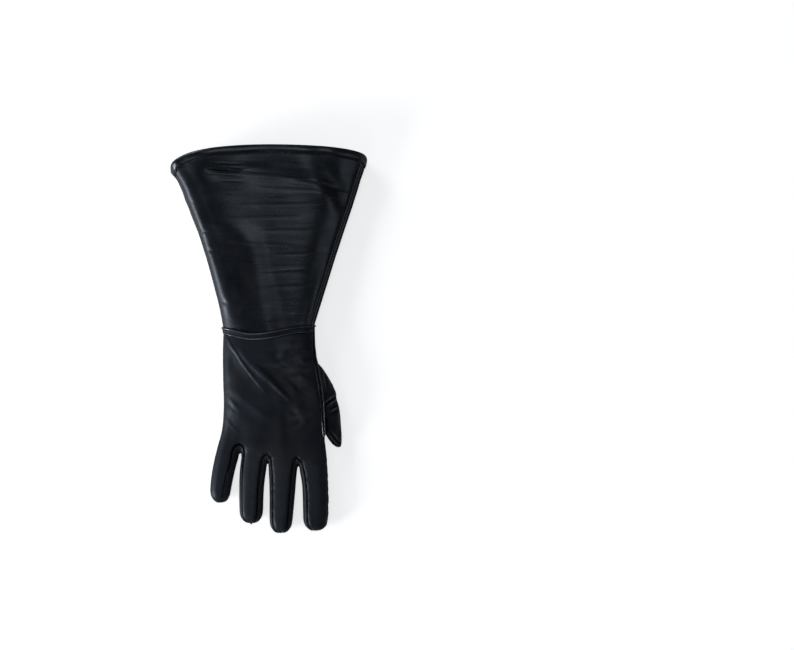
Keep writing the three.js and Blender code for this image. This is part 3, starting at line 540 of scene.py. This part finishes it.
groove = cuff_sheet.verts.layers.float.new("groove")
for vert in cuff_sheet.verts:
    at = vert.co.copy()
    over = within(vert.normal.z)
    left, right = cuff_edges(at.y / MM)
    inset = right - at.x / MM
    turned = at.x / MM - left
    ripple = uneven(Vector((at.x * 0.3, at.y * 2.0, at.z)), [CUFF_RIPPLE])
    calm = within(turned / FOLD_SIDE["calm"], 0.3)
    push = (fold_height(CUFF_FOLDS, at) + fold_height(CUFF_CREASES, at)) * over ** 0.5
    push += (ripple + uneven(at, CUFF_SAG) * (0.25 + 0.75 * over)) * calm * MM
    push *= within(inset / SEAM_SIDE["still"], 0.1)
    if vert.normal.z > 0:
        fullness = within(at.y / MM / FOLD_SIDE["full_y"], 0.15)
        bulge = FOLD_SIDE["height"] * fullness * hump((turned - FOLD_SIDE["inset"]) / FOLD_SIDE["width"])
        bulge += SEAM_SIDE["height"] * hump((inset - SEAM_SIDE["inset"]) / SEAM_SIDE["width"])
        push += bulge * MM
    if vert.normal.z < -0.5:
        push = min(push, 0)
    vert.co = at + vert.normal * push
    vert.co.z = max(vert.co.z, CUFF_ABOVE_TABLE * MM)
    # Painted shade on the fold, fading from the wrist towards the rim.
    fold_shade = FOLD_SHADE_AND_DULL["wrist"] * (1 - (at.y / MM - FOLD_SHADE_AND_DULL["y"]) / FOLD_SHADE_AND_DULL["run"])
    fold_shade = within(fold_shade, FOLD_SHADE_AND_DULL["rim"], FOLD_SHADE_AND_DULL["wrist"])
    fold_shade *= hump((turned - FOLD_SHADE_AND_DULL["inset"]) / FOLD_SHADE_AND_DULL["width"])
    # Painted shade in the crease dips, plus the painted shade on the fold.
    vert[groove] = max(-fold_height(CUFF_CREASES, at) / (CREASE_SHADE_DEPTH * MM) * over, 0) + fold_shade
cuff_sheet.normal_update()
rim_frames = loop_frames(cuff_sheet, True)
wrist_frames = loop_frames(cuff_sheet, False)
cuff_top = BVHTree.FromBMesh(cuff_sheet)
cuff_leather = to_object("cuff_leather", walled(cuff_sheet, CUFF_WALL))
cuff_finish = leather("cuff leather", LEATHER_COLOUR, 0.3, stretch=0.2)
shaded(cuff_leather, cuff_finish, "cuff")

# The binding: a strip of the same leather folded over the rim, plump over the edge of the cuff,
# and sewn through all of it about 7 mm from the rim.
BINDING_COLOUR = (0.005, 0.0058, 0.0084)
HEM_SEWN_AT = 7.4
# The groove, side and edge marks paint shade: in the stitched groove, on the turned ends of the binding
# and on its top edge towards the thumb side.
HEM_PROFILE = [
    {"in": 9.0, "up": 0.15, "groove": 1},
    {"in": 8.85, "up": 0.4, "groove": 0.6},
    {"in": 8.2, "up": 0.5, "groove": 0.2},
    {"in": 7.7, "up": -0.2, "sewn": 1, "groove": 1},
    {"in": 7.2, "sewn": 1, "groove": 1},
    {"in": 6.6, "up": 1.0},
    {"in": 5.6, "plump": 1},
    {"in": 4.6, "plump": 1.15, "side": 1},
    {"in": 3.0, "plump": 1.15, "side": 1},
    {"in": 1.4, "plump": 1, "side": 1},
    {"in": 0.3, "plump": 0.75, "side": 1, "edge": 0.5},
    {"in": -0.5, "plump": 0.35, "edge": 1},
    {"in": -1.0, "up": -0.5, "edge": 1},
    {"in": -1.0, "up": -1.7, "edge": 1},
    {"in": -0.5, "up": -2.7},
    {"in": 0.6, "up": -3.3},
    {"in": 4.0, "up": -3.5},
    {"in": 8.4, "up": -3.4},
    {"in": 9.0, "up": -3.0},
    {"in": 8.7, "up": -2.35},
    {"in": 4.0, "up": -2.4},
    {"in": 0.4, "up": -2.35},
    {"in": 0.35, "up": 0.25},
    {"in": 4.0, "up": 0.3},
]


def risen(corner, sizes):
    """How far up a corner of a profile lies, with its shares of some sizes that vary"""
    return corner.get("up", 0) + sum(corner.get(name, 0) * size for name, size in sizes.items())


def hem_profile(at, out):
    """The folded binding at one place: plump over the rim, flatter at both ends and underneath"""
    plump = 1.4 + 0.2 * waves(at, 14, 3.0) + 0.12 * waves(at, 4, 7.0)
    if out.z < -0.3:
        plump = 1.2
    sizes = {"plump": plump * (1 - 0.6 * out.x ** 2), "sewn": 0.35 + 0.15 * waves(at, 3, 5.0)}
    # Painted shade: the ends of the binding, where it turns to the sides, are darkened.
    side = (0.7 if out.x > 0 else 0.45) * out.x ** 2
    # Painted shade: the top edge of the binding darkens towards the thumb side.
    edge = within(at.x / MM / 30 + 0.5)
    corners = []
    for corner in HEM_PROFILE:
        painted_light = max(corner.get("groove", 0), corner.get("side", 0) * side)
        painted_light = max(painted_light, corner.get("edge", 0) * edge)
        corners.append((corner["in"], risen(corner, sizes), painted_light))
    return corners


hem = collar(rim_frames, hem_profile)
hem_binding = to_object("hem_binding", hem)
binding_finish = leather("binding leather", BINDING_COLOUR, 0.28, gloss=0.3)
shaded(hem_binding, binding_finish, "cuff_hem")

# The wrist band: a strip of leather in two padded ridges, sewn in between the cuff and the hand.
# It stands proud of both over the back, lies flat under the glove, and has painted highlights on its
# ridges.
# The groove marks paint shade in the band's grooves; the highlit crests get painted highlights.
BAND_PROFILE = [
    {"in": 0.9, "over": -1.2, "groove": 1},
    {"in": 0.2, "over": -1.0, "groove": 1},
    {"in": -0.3, "over": -0.6, "groove": 1},
    {"in": -0.7, "proud": 0.8, "groove": 0.2},
    {"in": -1.1, "proud": 1.2, "highlit": 1},
    {"in": -1.9, "proud": 1.2, "highlit": 1},
    {"in": -2.8, "proud": 0.3, "filled": 1, "groove": 1},
    {"in": -3.8, "proud": 0.2, "filled": 1, "groove": 0.9},
    {"in": -5.5, "proud": 0.35, "filled": 1, "groove": 0.6},
    {"in": -6.5, "proud": 0.85, "highlit": 1},
    {"in": -7.2, "proud": 0.8, "highlit": 1},
    {"in": -7.7, "proud": 0.4, "groove": 0.6},
    {"in": -8.1, "over": -0.6, "groove": 1},
    {"in": -9.4, "over": -1.1, "groove": 1},
    {"in": -9.4, "up": -1.9},
    {"in": 0.9, "up": -1.9},
]


def band_profile(at, out):
    """The band at one place: two ridges and the valley between them, which fills at both ends"""
    over = within(at.z / MM / 9)
    proud = (1.7 + 0.3 * waves(at, 16, 4.0)) * over * (1 - 0.2 * within(out.x) ** 2)
    sizes = {"over": over, "proud": proud, "filled": 0.5 * out.x ** 2 * proud}
    # Painted highlight on the ridge crests, strongest left of the middle.
    crest_highlight = 0.12 + 0.55 * hump((at.x / MM + 10) / 22)
    corners = []
    for corner in BAND_PROFILE:
        painted_light = corner.get("groove", 0) - corner.get("highlit", 0) * crest_highlight
        corners.append((corner["in"], risen(corner, sizes), painted_light))
    return corners


band = collar(wrist_frames, band_profile)
band_roll = to_object("wrist_band_roll", band)
shaded(band_roll, binding_finish, "wrist_band")

# The hand: a back, a palm and three strips between the fingers of thin glove leather, sewn edge to
# edge. The seams are drawn in and puckered, the leather swells beside them, and the back has soft
# folds. Shade is painted along the seams, and a pale sheen is painted in patches on the back and
# along the fingers.
HAND_WALL = 1.5
HAND_COLOUR = (0.0132, 0.0145, 0.0185)
# Painted light: the fourchettes are the hand's leather, made paler to lift the shade between the
# fingers.
FORK_LIT_COLOUR = (0.027, 0.029, 0.034)
PANELS = ["back_panel", "palm_panel", "fourchette_little_ring", "fourchette_ring_middle",
          "fourchette_middle_index"]
PALM_TURN = 40
SEWN_GAP = 1.35
TUCKED = {"y": -12, "in": 1.4}
HAND_ROUNDING = 3
KNUCKLES = {"from": -132, "to": -88, "passes": 40}
BACK_FOLDS = [
    {"x0": -45, "y0": 8, "x1": -45, "y1": -48, "width": 6.0, "height": 1.3},
    {"x0": -43, "y0": 5, "x1": -35, "y1": -11, "width": 1.1, "height": 0.8},
    {"x0": -38, "y0": -5, "x1": -25, "y1": -25, "width": 1.1, "height": 0.9},
    {"x0": -28, "y0": -21, "x1": -15, "y1": -38, "width": 1.1, "height": 0.9},
    {"x0": -18, "y0": -34, "x1": -3, "y1": -52, "width": 1.2, "height": 0.8},
    {"x0": -36, "y0": -9, "x1": -7, "y1": -43, "width": 3.0, "height": -0.5},
    {"x0": -30, "y0": -10, "x1": -10, "y1": -30, "width": 4.0, "height": 0.5},
    {"x0": -14, "y0": -27, "x1": 8, "y1": -47, "width": 2.6, "height": 1.3},
    {"x0": 2, "y0": -42, "x1": 21, "y1": -60, "width": 1.6, "height": 1.7},
    {"x0": -6, "y0": -24, "x1": 24, "y1": -54, "width": 4.5, "height": -0.8},
    {"x0": -32, "y0": -50, "x1": 2, "y1": -77, "width": 7.0, "height": 1.5},
    {"x0": -40, "y0": -42, "x1": -8, "y1": -62, "width": 5.0, "height": -0.5},
    {"x0": -45, "y0": -54, "x1": -30, "y1": -69, "width": 1.5, "height": 0.3},
    {"x0": -46, "y0": -59, "x1": -33, "y1": -72, "width": 1.5, "height": -0.35},
    {"x0": -45, "y0": -78, "x1": -32, "y1": -92, "width": 1.8, "height": 0.3},
    {"x0": 6, "y0": -6, "x1": 24, "y1": -20, "width": 3.0, "height": 0.8},
    {"x0": 2, "y0": -14, "x1": 20, "y1": -28, "width": 2.6, "height": -0.9},
    {"x0": 18, "y0": -16, "x1": 34, "y1": -30, "width": 2.2, "height": 0.7},
    {"x0": 22, "y0": -30, "x1": 42, "y1": -44, "width": 2.6, "height": 1.0},
    {"x0": 18, "y0": -38, "x1": 38, "y1": -54, "width": 2.6, "height": -0.9},
    {"x0": 24, "y0": -62, "x1": 38, "y1": -78, "width": 3.4, "height": 0.9},
    {"x0": 20, "y0": -68, "x1": 32, "y1": -82, "width": 3.0, "height": -0.6},
    {"x0": 10, "y0": -58, "x1": 12, "y1": -108, "width": 4.0, "height": 0.2},
    {"x0": 17, "y0": -58, "x1": 19, "y1": -108, "width": 4.0, "height": -0.35},
    {"x0": 34, "y0": -121, "x1": 47, "y1": -123.5, "width": 1.4, "height": 0.7},
]
RUMPLED = {"x": 24, "y": -34, "wide": 20, "long": 26, "coarse": 1.1, "slanted": 0.4}
WRINKLED = {"x": 32, "y": -17, "wide": 15, "long": 20, "fine": 1.1}
# Painted sheen: pale patches on the back of the hand, where the lamps leave it dark.
SHEEN_PATCHES = [
    {"x": 14, "y": -18, "wide": 17, "long": 17},
    {"x": 34, "y": -34, "wide": 12, "long": 12},
    {"x": 31, "y": -79, "wide": 10, "long": 10},
]
SHEEN_PATCH_STRENGTH = 0.26
# Painted sheen along the fingers, more on the middle finger.
FINGER_SHEEN = {"y": -100, "run": 25, "all": 0.04, "middle": 0.08, "x": -4, "wide": 14}
SEAM = {"depth": 1.3, "width": 0.75, "pucker": 0.8}
SWELL = {"away": 3.2, "width": 2.4, "height": 0.28, "uneven": 0.4}
RIPPLE = {"away": 1.8, "width": 1.6, "fingers": 0.45, "hand": 0.16, "fingers_y": -110}
FULLNESS = 0.25
HAND_ABOVE_TABLE = 0.03


def seed_face(node):
    """What the first face of a panel's outer sheet has the most of"""
    if node == "back_panel":
        return lambda f: f.calc_center_median().z
    if node == "palm_panel":
        return lambda f: -f.calc_center_median().z * 100 - f.normal.z
    return lambda f: (f.calc_center_median().y if f.normal.y < -0.5 else -1)


skin = bmesh.new()
for number, node in enumerate(PANELS):
    turn = PALM_TURN if node == "palm_panel" else FACING_UP
    sheet = outer_sheet(node, seed_face(node), turn)
    for face in sheet.faces:
        face.material_index = number
    part = bpy.data.meshes.new("part")
    sheet.to_mesh(part)
    sheet.free()
    skin.from_mesh(part)
    bpy.data.meshes.remove(part)
open_verts = [v for v in skin.verts if v.is_boundary]
pairs = bmesh.ops.find_doubles(skin, verts=open_verts, dist=SEWN_GAP * MM)["targetmap"]
groups = {}
for vert, target in pairs.items():
    groups.setdefault(target, [target.co.copy()]).append(vert.co.copy())
for target, points in groups.items():
    target.co = sum(points, Vector()) / len(points)
bmesh.ops.weld_verts(skin, targetmap=pairs)
for vert in skin.verts:
    if vert.is_boundary and vert.co.y > TUCKED["y"] * MM:
        vert.co.y += TUCKED["in"] * MM
skin = rounded(skin, HAND_ROUNDING)
knuckles = [v for v in skin.verts
            if v.normal.z > 0.5 and KNUCKLES["from"] * MM < v.co.y < KNUCKLES["to"] * MM
            and len({f.material_index for f in v.link_faces}) == 1]
smoothed(skin, knuckles, KNUCKLES["passes"])

seams = [e for e in skin.edges
         if len(e.link_faces) == 2 and e.link_faces[0].material_index != e.link_faces[1].material_index]
seam_points = [e.verts[0].co.lerp(e.verts[1].co, t) for e in seams for t in (0, 0.34, 0.67)]
near_seam = kdtree.KDTree(len(seam_points))
for number, at in enumerate(seam_points):
    near_seam.insert(at, number)
near_seam.balance()


def nearness(at, patch):
    """How near a point lies to the middle of a patch of the leather, from 0 to 1"""
    across = (at.x / MM - patch["x"]) / patch["wide"]
    along = (at.y / MM - patch["y"]) / patch["long"]
    return hump(math.hypot(across, along))


def seam_relief(spot, away, ripple):
    """How far out in mm the leather stands at a distance from the nearest spot of a seam"""
    drawn = -SEAM["depth"] * (1 + SEAM["pucker"] * waves(spot, 4.5, 1.0)) * hump(away / SEAM["width"])
    swell = SWELL["height"] + SWELL["uneven"] * waves(spot, 5.5, 6.0)
    swell *= hump((away - SWELL["away"]) / SWELL["width"])
    ripple *= waves(spot, 4.2, 8.0) * hump((away - RIPPLE["away"]) / RIPPLE["width"])
    return drawn + swell + ripple


def hand_sag(at):
    """How far out in mm the leather of the hand stands of itself, with its rumples and wrinkles"""
    rumpled = nearness(at, RUMPLED)
    slanted = Vector((at.x + at.y, at.y - at.x * 0.5, at.z))
    flat = Vector((at.x * 0.5, at.y * 1.7, at.z))
    sag = waves(at, 30, 5.0) * 0.4 + waves(at, 11, 2.0) * (0.14 + RUMPLED["coarse"] * rumpled)
    sag += waves(slanted, 6, 4.0) * RUMPLED["slanted"] * rumpled
    return sag + waves(flat, 5, 6.0) * WRINKLED["fine"] * nearness(at, WRINKLED)


def hand_painted_sheen(at):
    """How much painted sheen the hand's leather gets: in patches on the back, and along the fingers"""
    sheen_patched = sum(nearness(at, sheen_patch) for sheen_patch in SHEEN_PATCHES)
    sheen_patched *= max(waves(Vector((at.x * 0.7, at.y * 1.3, at.z)), 7, 6.5) + 0.25, 0)
    finger_sheen = FINGER_SHEEN["middle"] * hump((at.x / MM - FINGER_SHEEN["x"]) / FINGER_SHEEN["wide"])
    finger_sheen += FINGER_SHEEN["all"]
    finger_sheen *= within((FINGER_SHEEN["y"] - at.y / MM) / FINGER_SHEEN["run"])
    return SHEEN_PATCH_STRENGTH * sheen_patched + finger_sheen


groove = skin.verts.layers.float.new("groove")
for vert in skin.verts:
    at = vert.co.copy()
    spot, _, away = near_seam.find(at)
    away /= MM
    over = within(vert.normal.z)
    ripple = RIPPLE["fingers" if at.y < RIPPLE["fingers_y"] * MM else "hand"]
    push = (seam_relief(spot, away, ripple) + FULLNESS + hand_sag(at) * 0.8) * MM
    push += fold_height(BACK_FOLDS, at) * over ** 0.5
    if vert.normal.z < -0.6:
        push = min(push, 0)
    vert.co = at + vert.normal * push
    vert.co.z = max(vert.co.z, HAND_ABOVE_TABLE * MM)
    # Painted shade along the seams, less the painted sheen.
    vert[groove] = hump(away / SEAM["width"]) ** 0.6 - hand_painted_sheen(at) * over
hand_finish = leather("glove leather", HAND_COLOUR, 0.45, stretch=0.12, gloss=0.0, shine=0.26)
# Painted light: paler fourchette leather lifts the shade between the fingers.
fork_lit_finish = leather("fourchette leather", FORK_LIT_COLOUR, 0.52, gloss=0.0, shine=0.3)
for number, node in enumerate(PANELS):
    panel = skin.copy()
    others = [f for f in panel.faces if f.material_index != number]
    bmesh.ops.delete(panel, geom=others, context="FACES")
    for face in panel.faces:
        face.material_index = 0
    panel_leather = to_object(node + "_leather", walled(panel, HAND_WALL))
    shaded(panel_leather, fork_lit_finish if "fourchette" in node else hand_finish, node)
skin.free()

# The seams of the thumb side: on each a folded strip of leather is laid over the edge, with two
# soft ridges and the stitches sunk between them. Both start under the wrist band.
STRIP_STEP = 1.5
CUFF_SEAM = {"start": 12, "clear": 17, "end": 176, "inset": 0.6, "wide": 0.85, "level": 0.8, "sewn": 3}
HAND_SEAM = [
    {"y": 14, "x": 44.0, "z": 13.6, "wide": 0.5},
    {"y": 4, "x": 44.2, "z": 14.6, "wide": 0.5},
    {"y": -6, "x": 44.3, "z": 15.8, "wide": 0.6},
    {"y": -18, "x": 45.2, "z": 17.2, "wide": 0.8},
    {"y": -29.5, "x": 47.8, "z": 18.6, "wide": 1.0},
    {"y": -47, "x": 51.0, "z": 20.6, "wide": 1.0},
    {"y": -67, "x": 53.2, "z": 21.4, "wide": 0.9},
    {"y": -92, "x": 54.7, "z": 19.2, "wide": 0.6},
    {"y": -98, "x": 54.8, "z": 17.6, "wide": 0.4},
]
# Groove marks paint shade in the folds and between the ridges; below 0 they paint highlights on the
# ridge crests.
CUFF_LAP = [
    {"in": -0.9, "up": -2.2, "groove": 1},
    {"in": -1.4, "up": -1.2, "groove": 1},
    {"in": -1.1, "up": -0.1, "groove": 1},
    {"in": -0.4, "up": 0.7, "groove": 1},
    {"in": 0.6, "up": 1.2, "groove": 0.2},
    {"in": 1.5, "up": 1.2, "groove": -0.9},
    {"in": 2.2, "up": 0.6, "groove": 0.5},
    {"in": 2.7, "up": -0.1, "groove": 1},
    {"in": 3.3, "up": -0.1, "groove": 1},
    {"in": 3.7, "up": 0.5, "groove": 0.4},
    {"in": 4.3, "up": 1.0, "groove": -0.6},
    {"in": 5.0, "up": 0.8, "groove": 0},
    {"in": 5.5, "up": 0.0, "groove": 0.4},
    {"in": 5.2, "up": -0.9, "groove": 1},
    {"in": 1.0, "up": -1.1, "groove": 1},
]
# The same painted shade and highlights as on the cuff's lap.
HAND_LAP = [
    {"in": 3.2, "up": -0.8, "groove": 1},
    {"in": 2.9, "up": 0.2, "groove": 0.9},
    {"in": 2.3, "up": 0.9, "groove": -0.8},
    {"in": 1.6, "up": 1.1, "groove": -0.8},
    {"in": 0.9, "up": 0.6, "groove": 0.4},
    {"in": 0.3, "up": -0.1, "groove": 1},
    {"in": -0.3, "up": -0.1, "groove": 1},
    {"in": -0.9, "up": 0.5, "groove": 0.4},
    {"in": -1.6, "up": 0.9, "groove": -0.8},
    {"in": -2.3, "up": 0.6, "groove": 0},
    {"in": -2.8, "up": -0.2, "groove": 0.7},
    {"in": -2.7, "up": -1.1, "groove": 1},
    {"in": -1.5, "up": -1.6, "groove": 1},
    {"in": 1.5, "up": -1.6, "groove": 1},
]


def laid_strip(line, profile):
    """A strip laid along a line, whose height is a number or depends on how far in a corner lies"""
    strip = bmesh.new()
    depth = strip.verts.layers.float.new("groove")
    ring = [strip.verts.new() for _ in profile]
    edges = [strip.edges.new((v, ring[(n + 1) % len(ring)])) for n, v in enumerate(ring)]
    place = {v: n for n, v in enumerate(ring)}
    for number, spot in enumerate(line):
        if number:
            edges, place = grown_ring(strip, edges, place)
        else:
            bmesh.ops.contextual_create(strip, geom=edges)
        plump = 1 + 0.12 * waves(Vector((spot["x"], spot["y"], 0)) * MM, 6, 3.0)
        for vert, corner in place.items():
            inner = profile[corner]["in"] * spot["wide"]
            z = spot["z"](inner) if callable(spot["z"]) else spot["z"]
            vert.co = Vector((spot["x"] - inner, spot["y"], z + profile[corner]["up"] * plump)) * MM
            vert[depth] = profile[corner]["groove"]
    bmesh.ops.contextual_create(strip, geom=edges)
    bmesh.ops.recalc_face_normals(strip, faces=strip.faces)
    return strip


def cuff_height(x, y):
    """Height in mm of the cuff's top at a place in mm"""
    hit = cuff_top.ray_cast(Vector((x * MM, y * MM, 0.2)), Vector((0, 0, -1)))[0]
    return hit.z / MM if hit else 0


def seam_height(y):
    """Height of the cuff's top at a distance in from the edge, held level at the very edge"""
    edge = cuff_edges(y)[1] - CUFF_SEAM["inset"]
    level = cuff_height(edge - CUFF_SEAM["level"], y)
    return lambda inner: (max(cuff_height(edge - inner, y), level) if inner > CUFF_SEAM["level"]
                          else level)


cuff_line = []
for step in range(int((CUFF_SEAM["end"] - CUFF_SEAM["start"]) / STRIP_STEP)):
    y = CUFF_SEAM["start"] + step * STRIP_STEP
    x = cuff_edges(y)[1] - CUFF_SEAM["inset"]
    z = seam_height(max(y, CUFF_SEAM["clear"]))
    cuff_line.append({"x": x, "y": y, "z": z, "wide": CUFF_SEAM["wide"]})
hand_line = []
for low, high in zip(HAND_SEAM, HAND_SEAM[1:]):
    parts = round((low["y"] - high["y"]) / STRIP_STEP)
    for n in range(parts):
        hand_line.append({key: low[key] + (high[key] - low[key]) * n / parts for key in low})
welt_finish = leather("welt leather", BINDING_COLOUR, 0.34, gloss=0.2, shine=0.45)
cuff_lap = to_object("cuff_seam_lap", laid_strip(cuff_line, CUFF_LAP))
shaded(cuff_lap, welt_finish, "cuff_side_welt")
hand_lap = to_object("hand_seam_lap", laid_strip(hand_line, HAND_LAP))
shaded(hand_lap, welt_finish, "hand_side_welt")

# The stitches: waxed black thread, sunk along the binding and between the ridges of both seams.
STITCH = {"pitch": 3.0, "length": 2.3, "thick": 0.42, "sides": 7, "rings": 6}
THREAD_COLOUR = (0.01, 0.011, 0.013)
thread = leather("waxed thread", THREAD_COLOUR, 0.45, gloss=0.0)


def stitched(name, path):
    """Stitches along a path of points, each a small plump capsule of thread"""
    row = bmesh.new()
    travelled = STITCH["pitch"]
    thick, long = STITCH["thick"] * MM, STITCH["length"] / 2 * MM
    size = Matrix.Diagonal((thick, thick, long, 1))
    for before, after in zip(path, path[1:]):
        travelled += (after - before).length / MM
        if travelled >= STITCH["pitch"]:
            travelled = 0
            turned = (after - before).to_track_quat("Z", "X").to_matrix().to_4x4()
            bmesh.ops.create_uvsphere(row, u_segments=STITCH["sides"], v_segments=STITCH["rings"],
                                      radius=1, matrix=Matrix.Translation(after) @ turned @ size)
    row.verts.layers.float.new("groove")
    shaded(to_object(name, row), thread)


sewn = CUFF_SEAM["sewn"]
cuff_path = [Vector((spot["x"] - sewn, spot["y"], spot["z"](sewn) + 0.3)) * MM for spot in cuff_line]
stitched("cuff_seam_stitches", cuff_path)
hand_path = [Vector((spot["x"], spot["y"], spot["z"] + 0.2)) * MM for spot in hand_line]
stitched("hand_seam_stitches", hand_path)
hem_path = [at + (into * HEM_SEWN_AT + out * 0.55) * MM for at, out, into in rim_frames if out.z > 0.1]
stitched("hem_stitches", hem_path)

# The thumb: a tube of the same thin leather that comes out from under the hand. It is creased
# across its joints and drawn in to a pointed tip.
THUMB_VOXEL = 0.6
THUMB_PASSES = 10
THUMB_SAME_POINT = 0.01
THUMB_CREASES = [
    {"x0": 51, "y0": -24, "x1": 57, "y1": -49, "width": 0.8, "height": 0.5},
    {"x0": 52.5, "y0": -24, "x1": 59, "y1": -48, "width": 0.8, "height": -0.5},
    {"x0": 54, "y0": -26, "x1": 61.5, "y1": -50, "width": 0.8, "height": 0.5},
    {"x0": 57, "y0": -31, "x1": 64, "y1": -52, "width": 0.8, "height": -0.4},
    {"x0": 54, "y0": -64, "x1": 66.8, "y1": -54.5, "width": 0.8, "height": 0.9},
    {"x0": 55, "y0": -65.5, "x1": 67.6, "y1": -56.5, "width": 0.8, "height": -1.2},
    {"x0": 58, "y0": -67, "x1": 68.3, "y1": -59, "width": 0.8, "height": 0.7},
    {"x0": 60, "y0": -70.5, "x1": 69.3, "y1": -64.5, "width": 0.8, "height": -1.0},
    {"x0": 61, "y0": -72.5, "x1": 69.8, "y1": -66.5, "width": 0.8, "height": 0.7},
    {"x0": 59, "y0": -76, "x1": 70.3, "y1": -70.5, "width": 1.2, "height": -0.7},
    {"x0": 68.2, "y0": -69, "x1": 70.2, "y1": -90, "width": 1.0, "height": 0.6},
    {"x0": 57.5, "y0": -93, "x1": 68.5, "y1": -106, "width": 0.8, "height": 0.8},
    {"x0": 60, "y0": -92.5, "x1": 70, "y1": -105, "width": 0.8, "height": -1.1},
    {"x0": 63, "y0": -92.5, "x1": 71, "y1": -103, "width": 0.8, "height": 0.5},
]
THUMB_SAG = [
    {"size": 14, "seed": 3.0, "height": 0.3},
    {"size": 5, "seed": 8.0, "height": 0.1},
]
THUMB_FULLNESS = 0.15
# Painted shade and highlight: a crease dip this deep, in mm, is painted fully dark, a crest this high
# fully pale.
THUMB_CREASE_SHADE_DEPTH = 1.0
thumb_cast = bmesh.new()
thumb_cast.from_mesh(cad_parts["thumb"].data)
bmesh.ops.remove_doubles(thumb_cast, verts=thumb_cast.verts, dist=THUMB_SAME_POINT * MM)
thumb = worked(thumb_cast, "REMESH", mode="VOXEL", voxel_size=THUMB_VOXEL * MM)
smoothed(thumb, thumb.verts, THUMB_PASSES)
groove = thumb.verts.layers.float.new("groove")
for vert in thumb.verts:
    at = vert.co.copy()
    over = within(vert.normal.z)
    creased = fold_height(THUMB_CREASES, at)
    push = creased * over ** 0.5 + (uneven(at, THUMB_SAG) + THUMB_FULLNESS) * MM * over
    vert.co = at + vert.normal * push
    vert.co.z = max(vert.co.z, HAND_ABOVE_TABLE * MM)
    # Painted shade in the crease dips and painted highlights on their crests.
    vert[groove] = -creased / (THUMB_CREASE_SHADE_DEPTH * MM) * over
shaded(to_object("thumb_leather", thumb), hand_finish, "thumb")
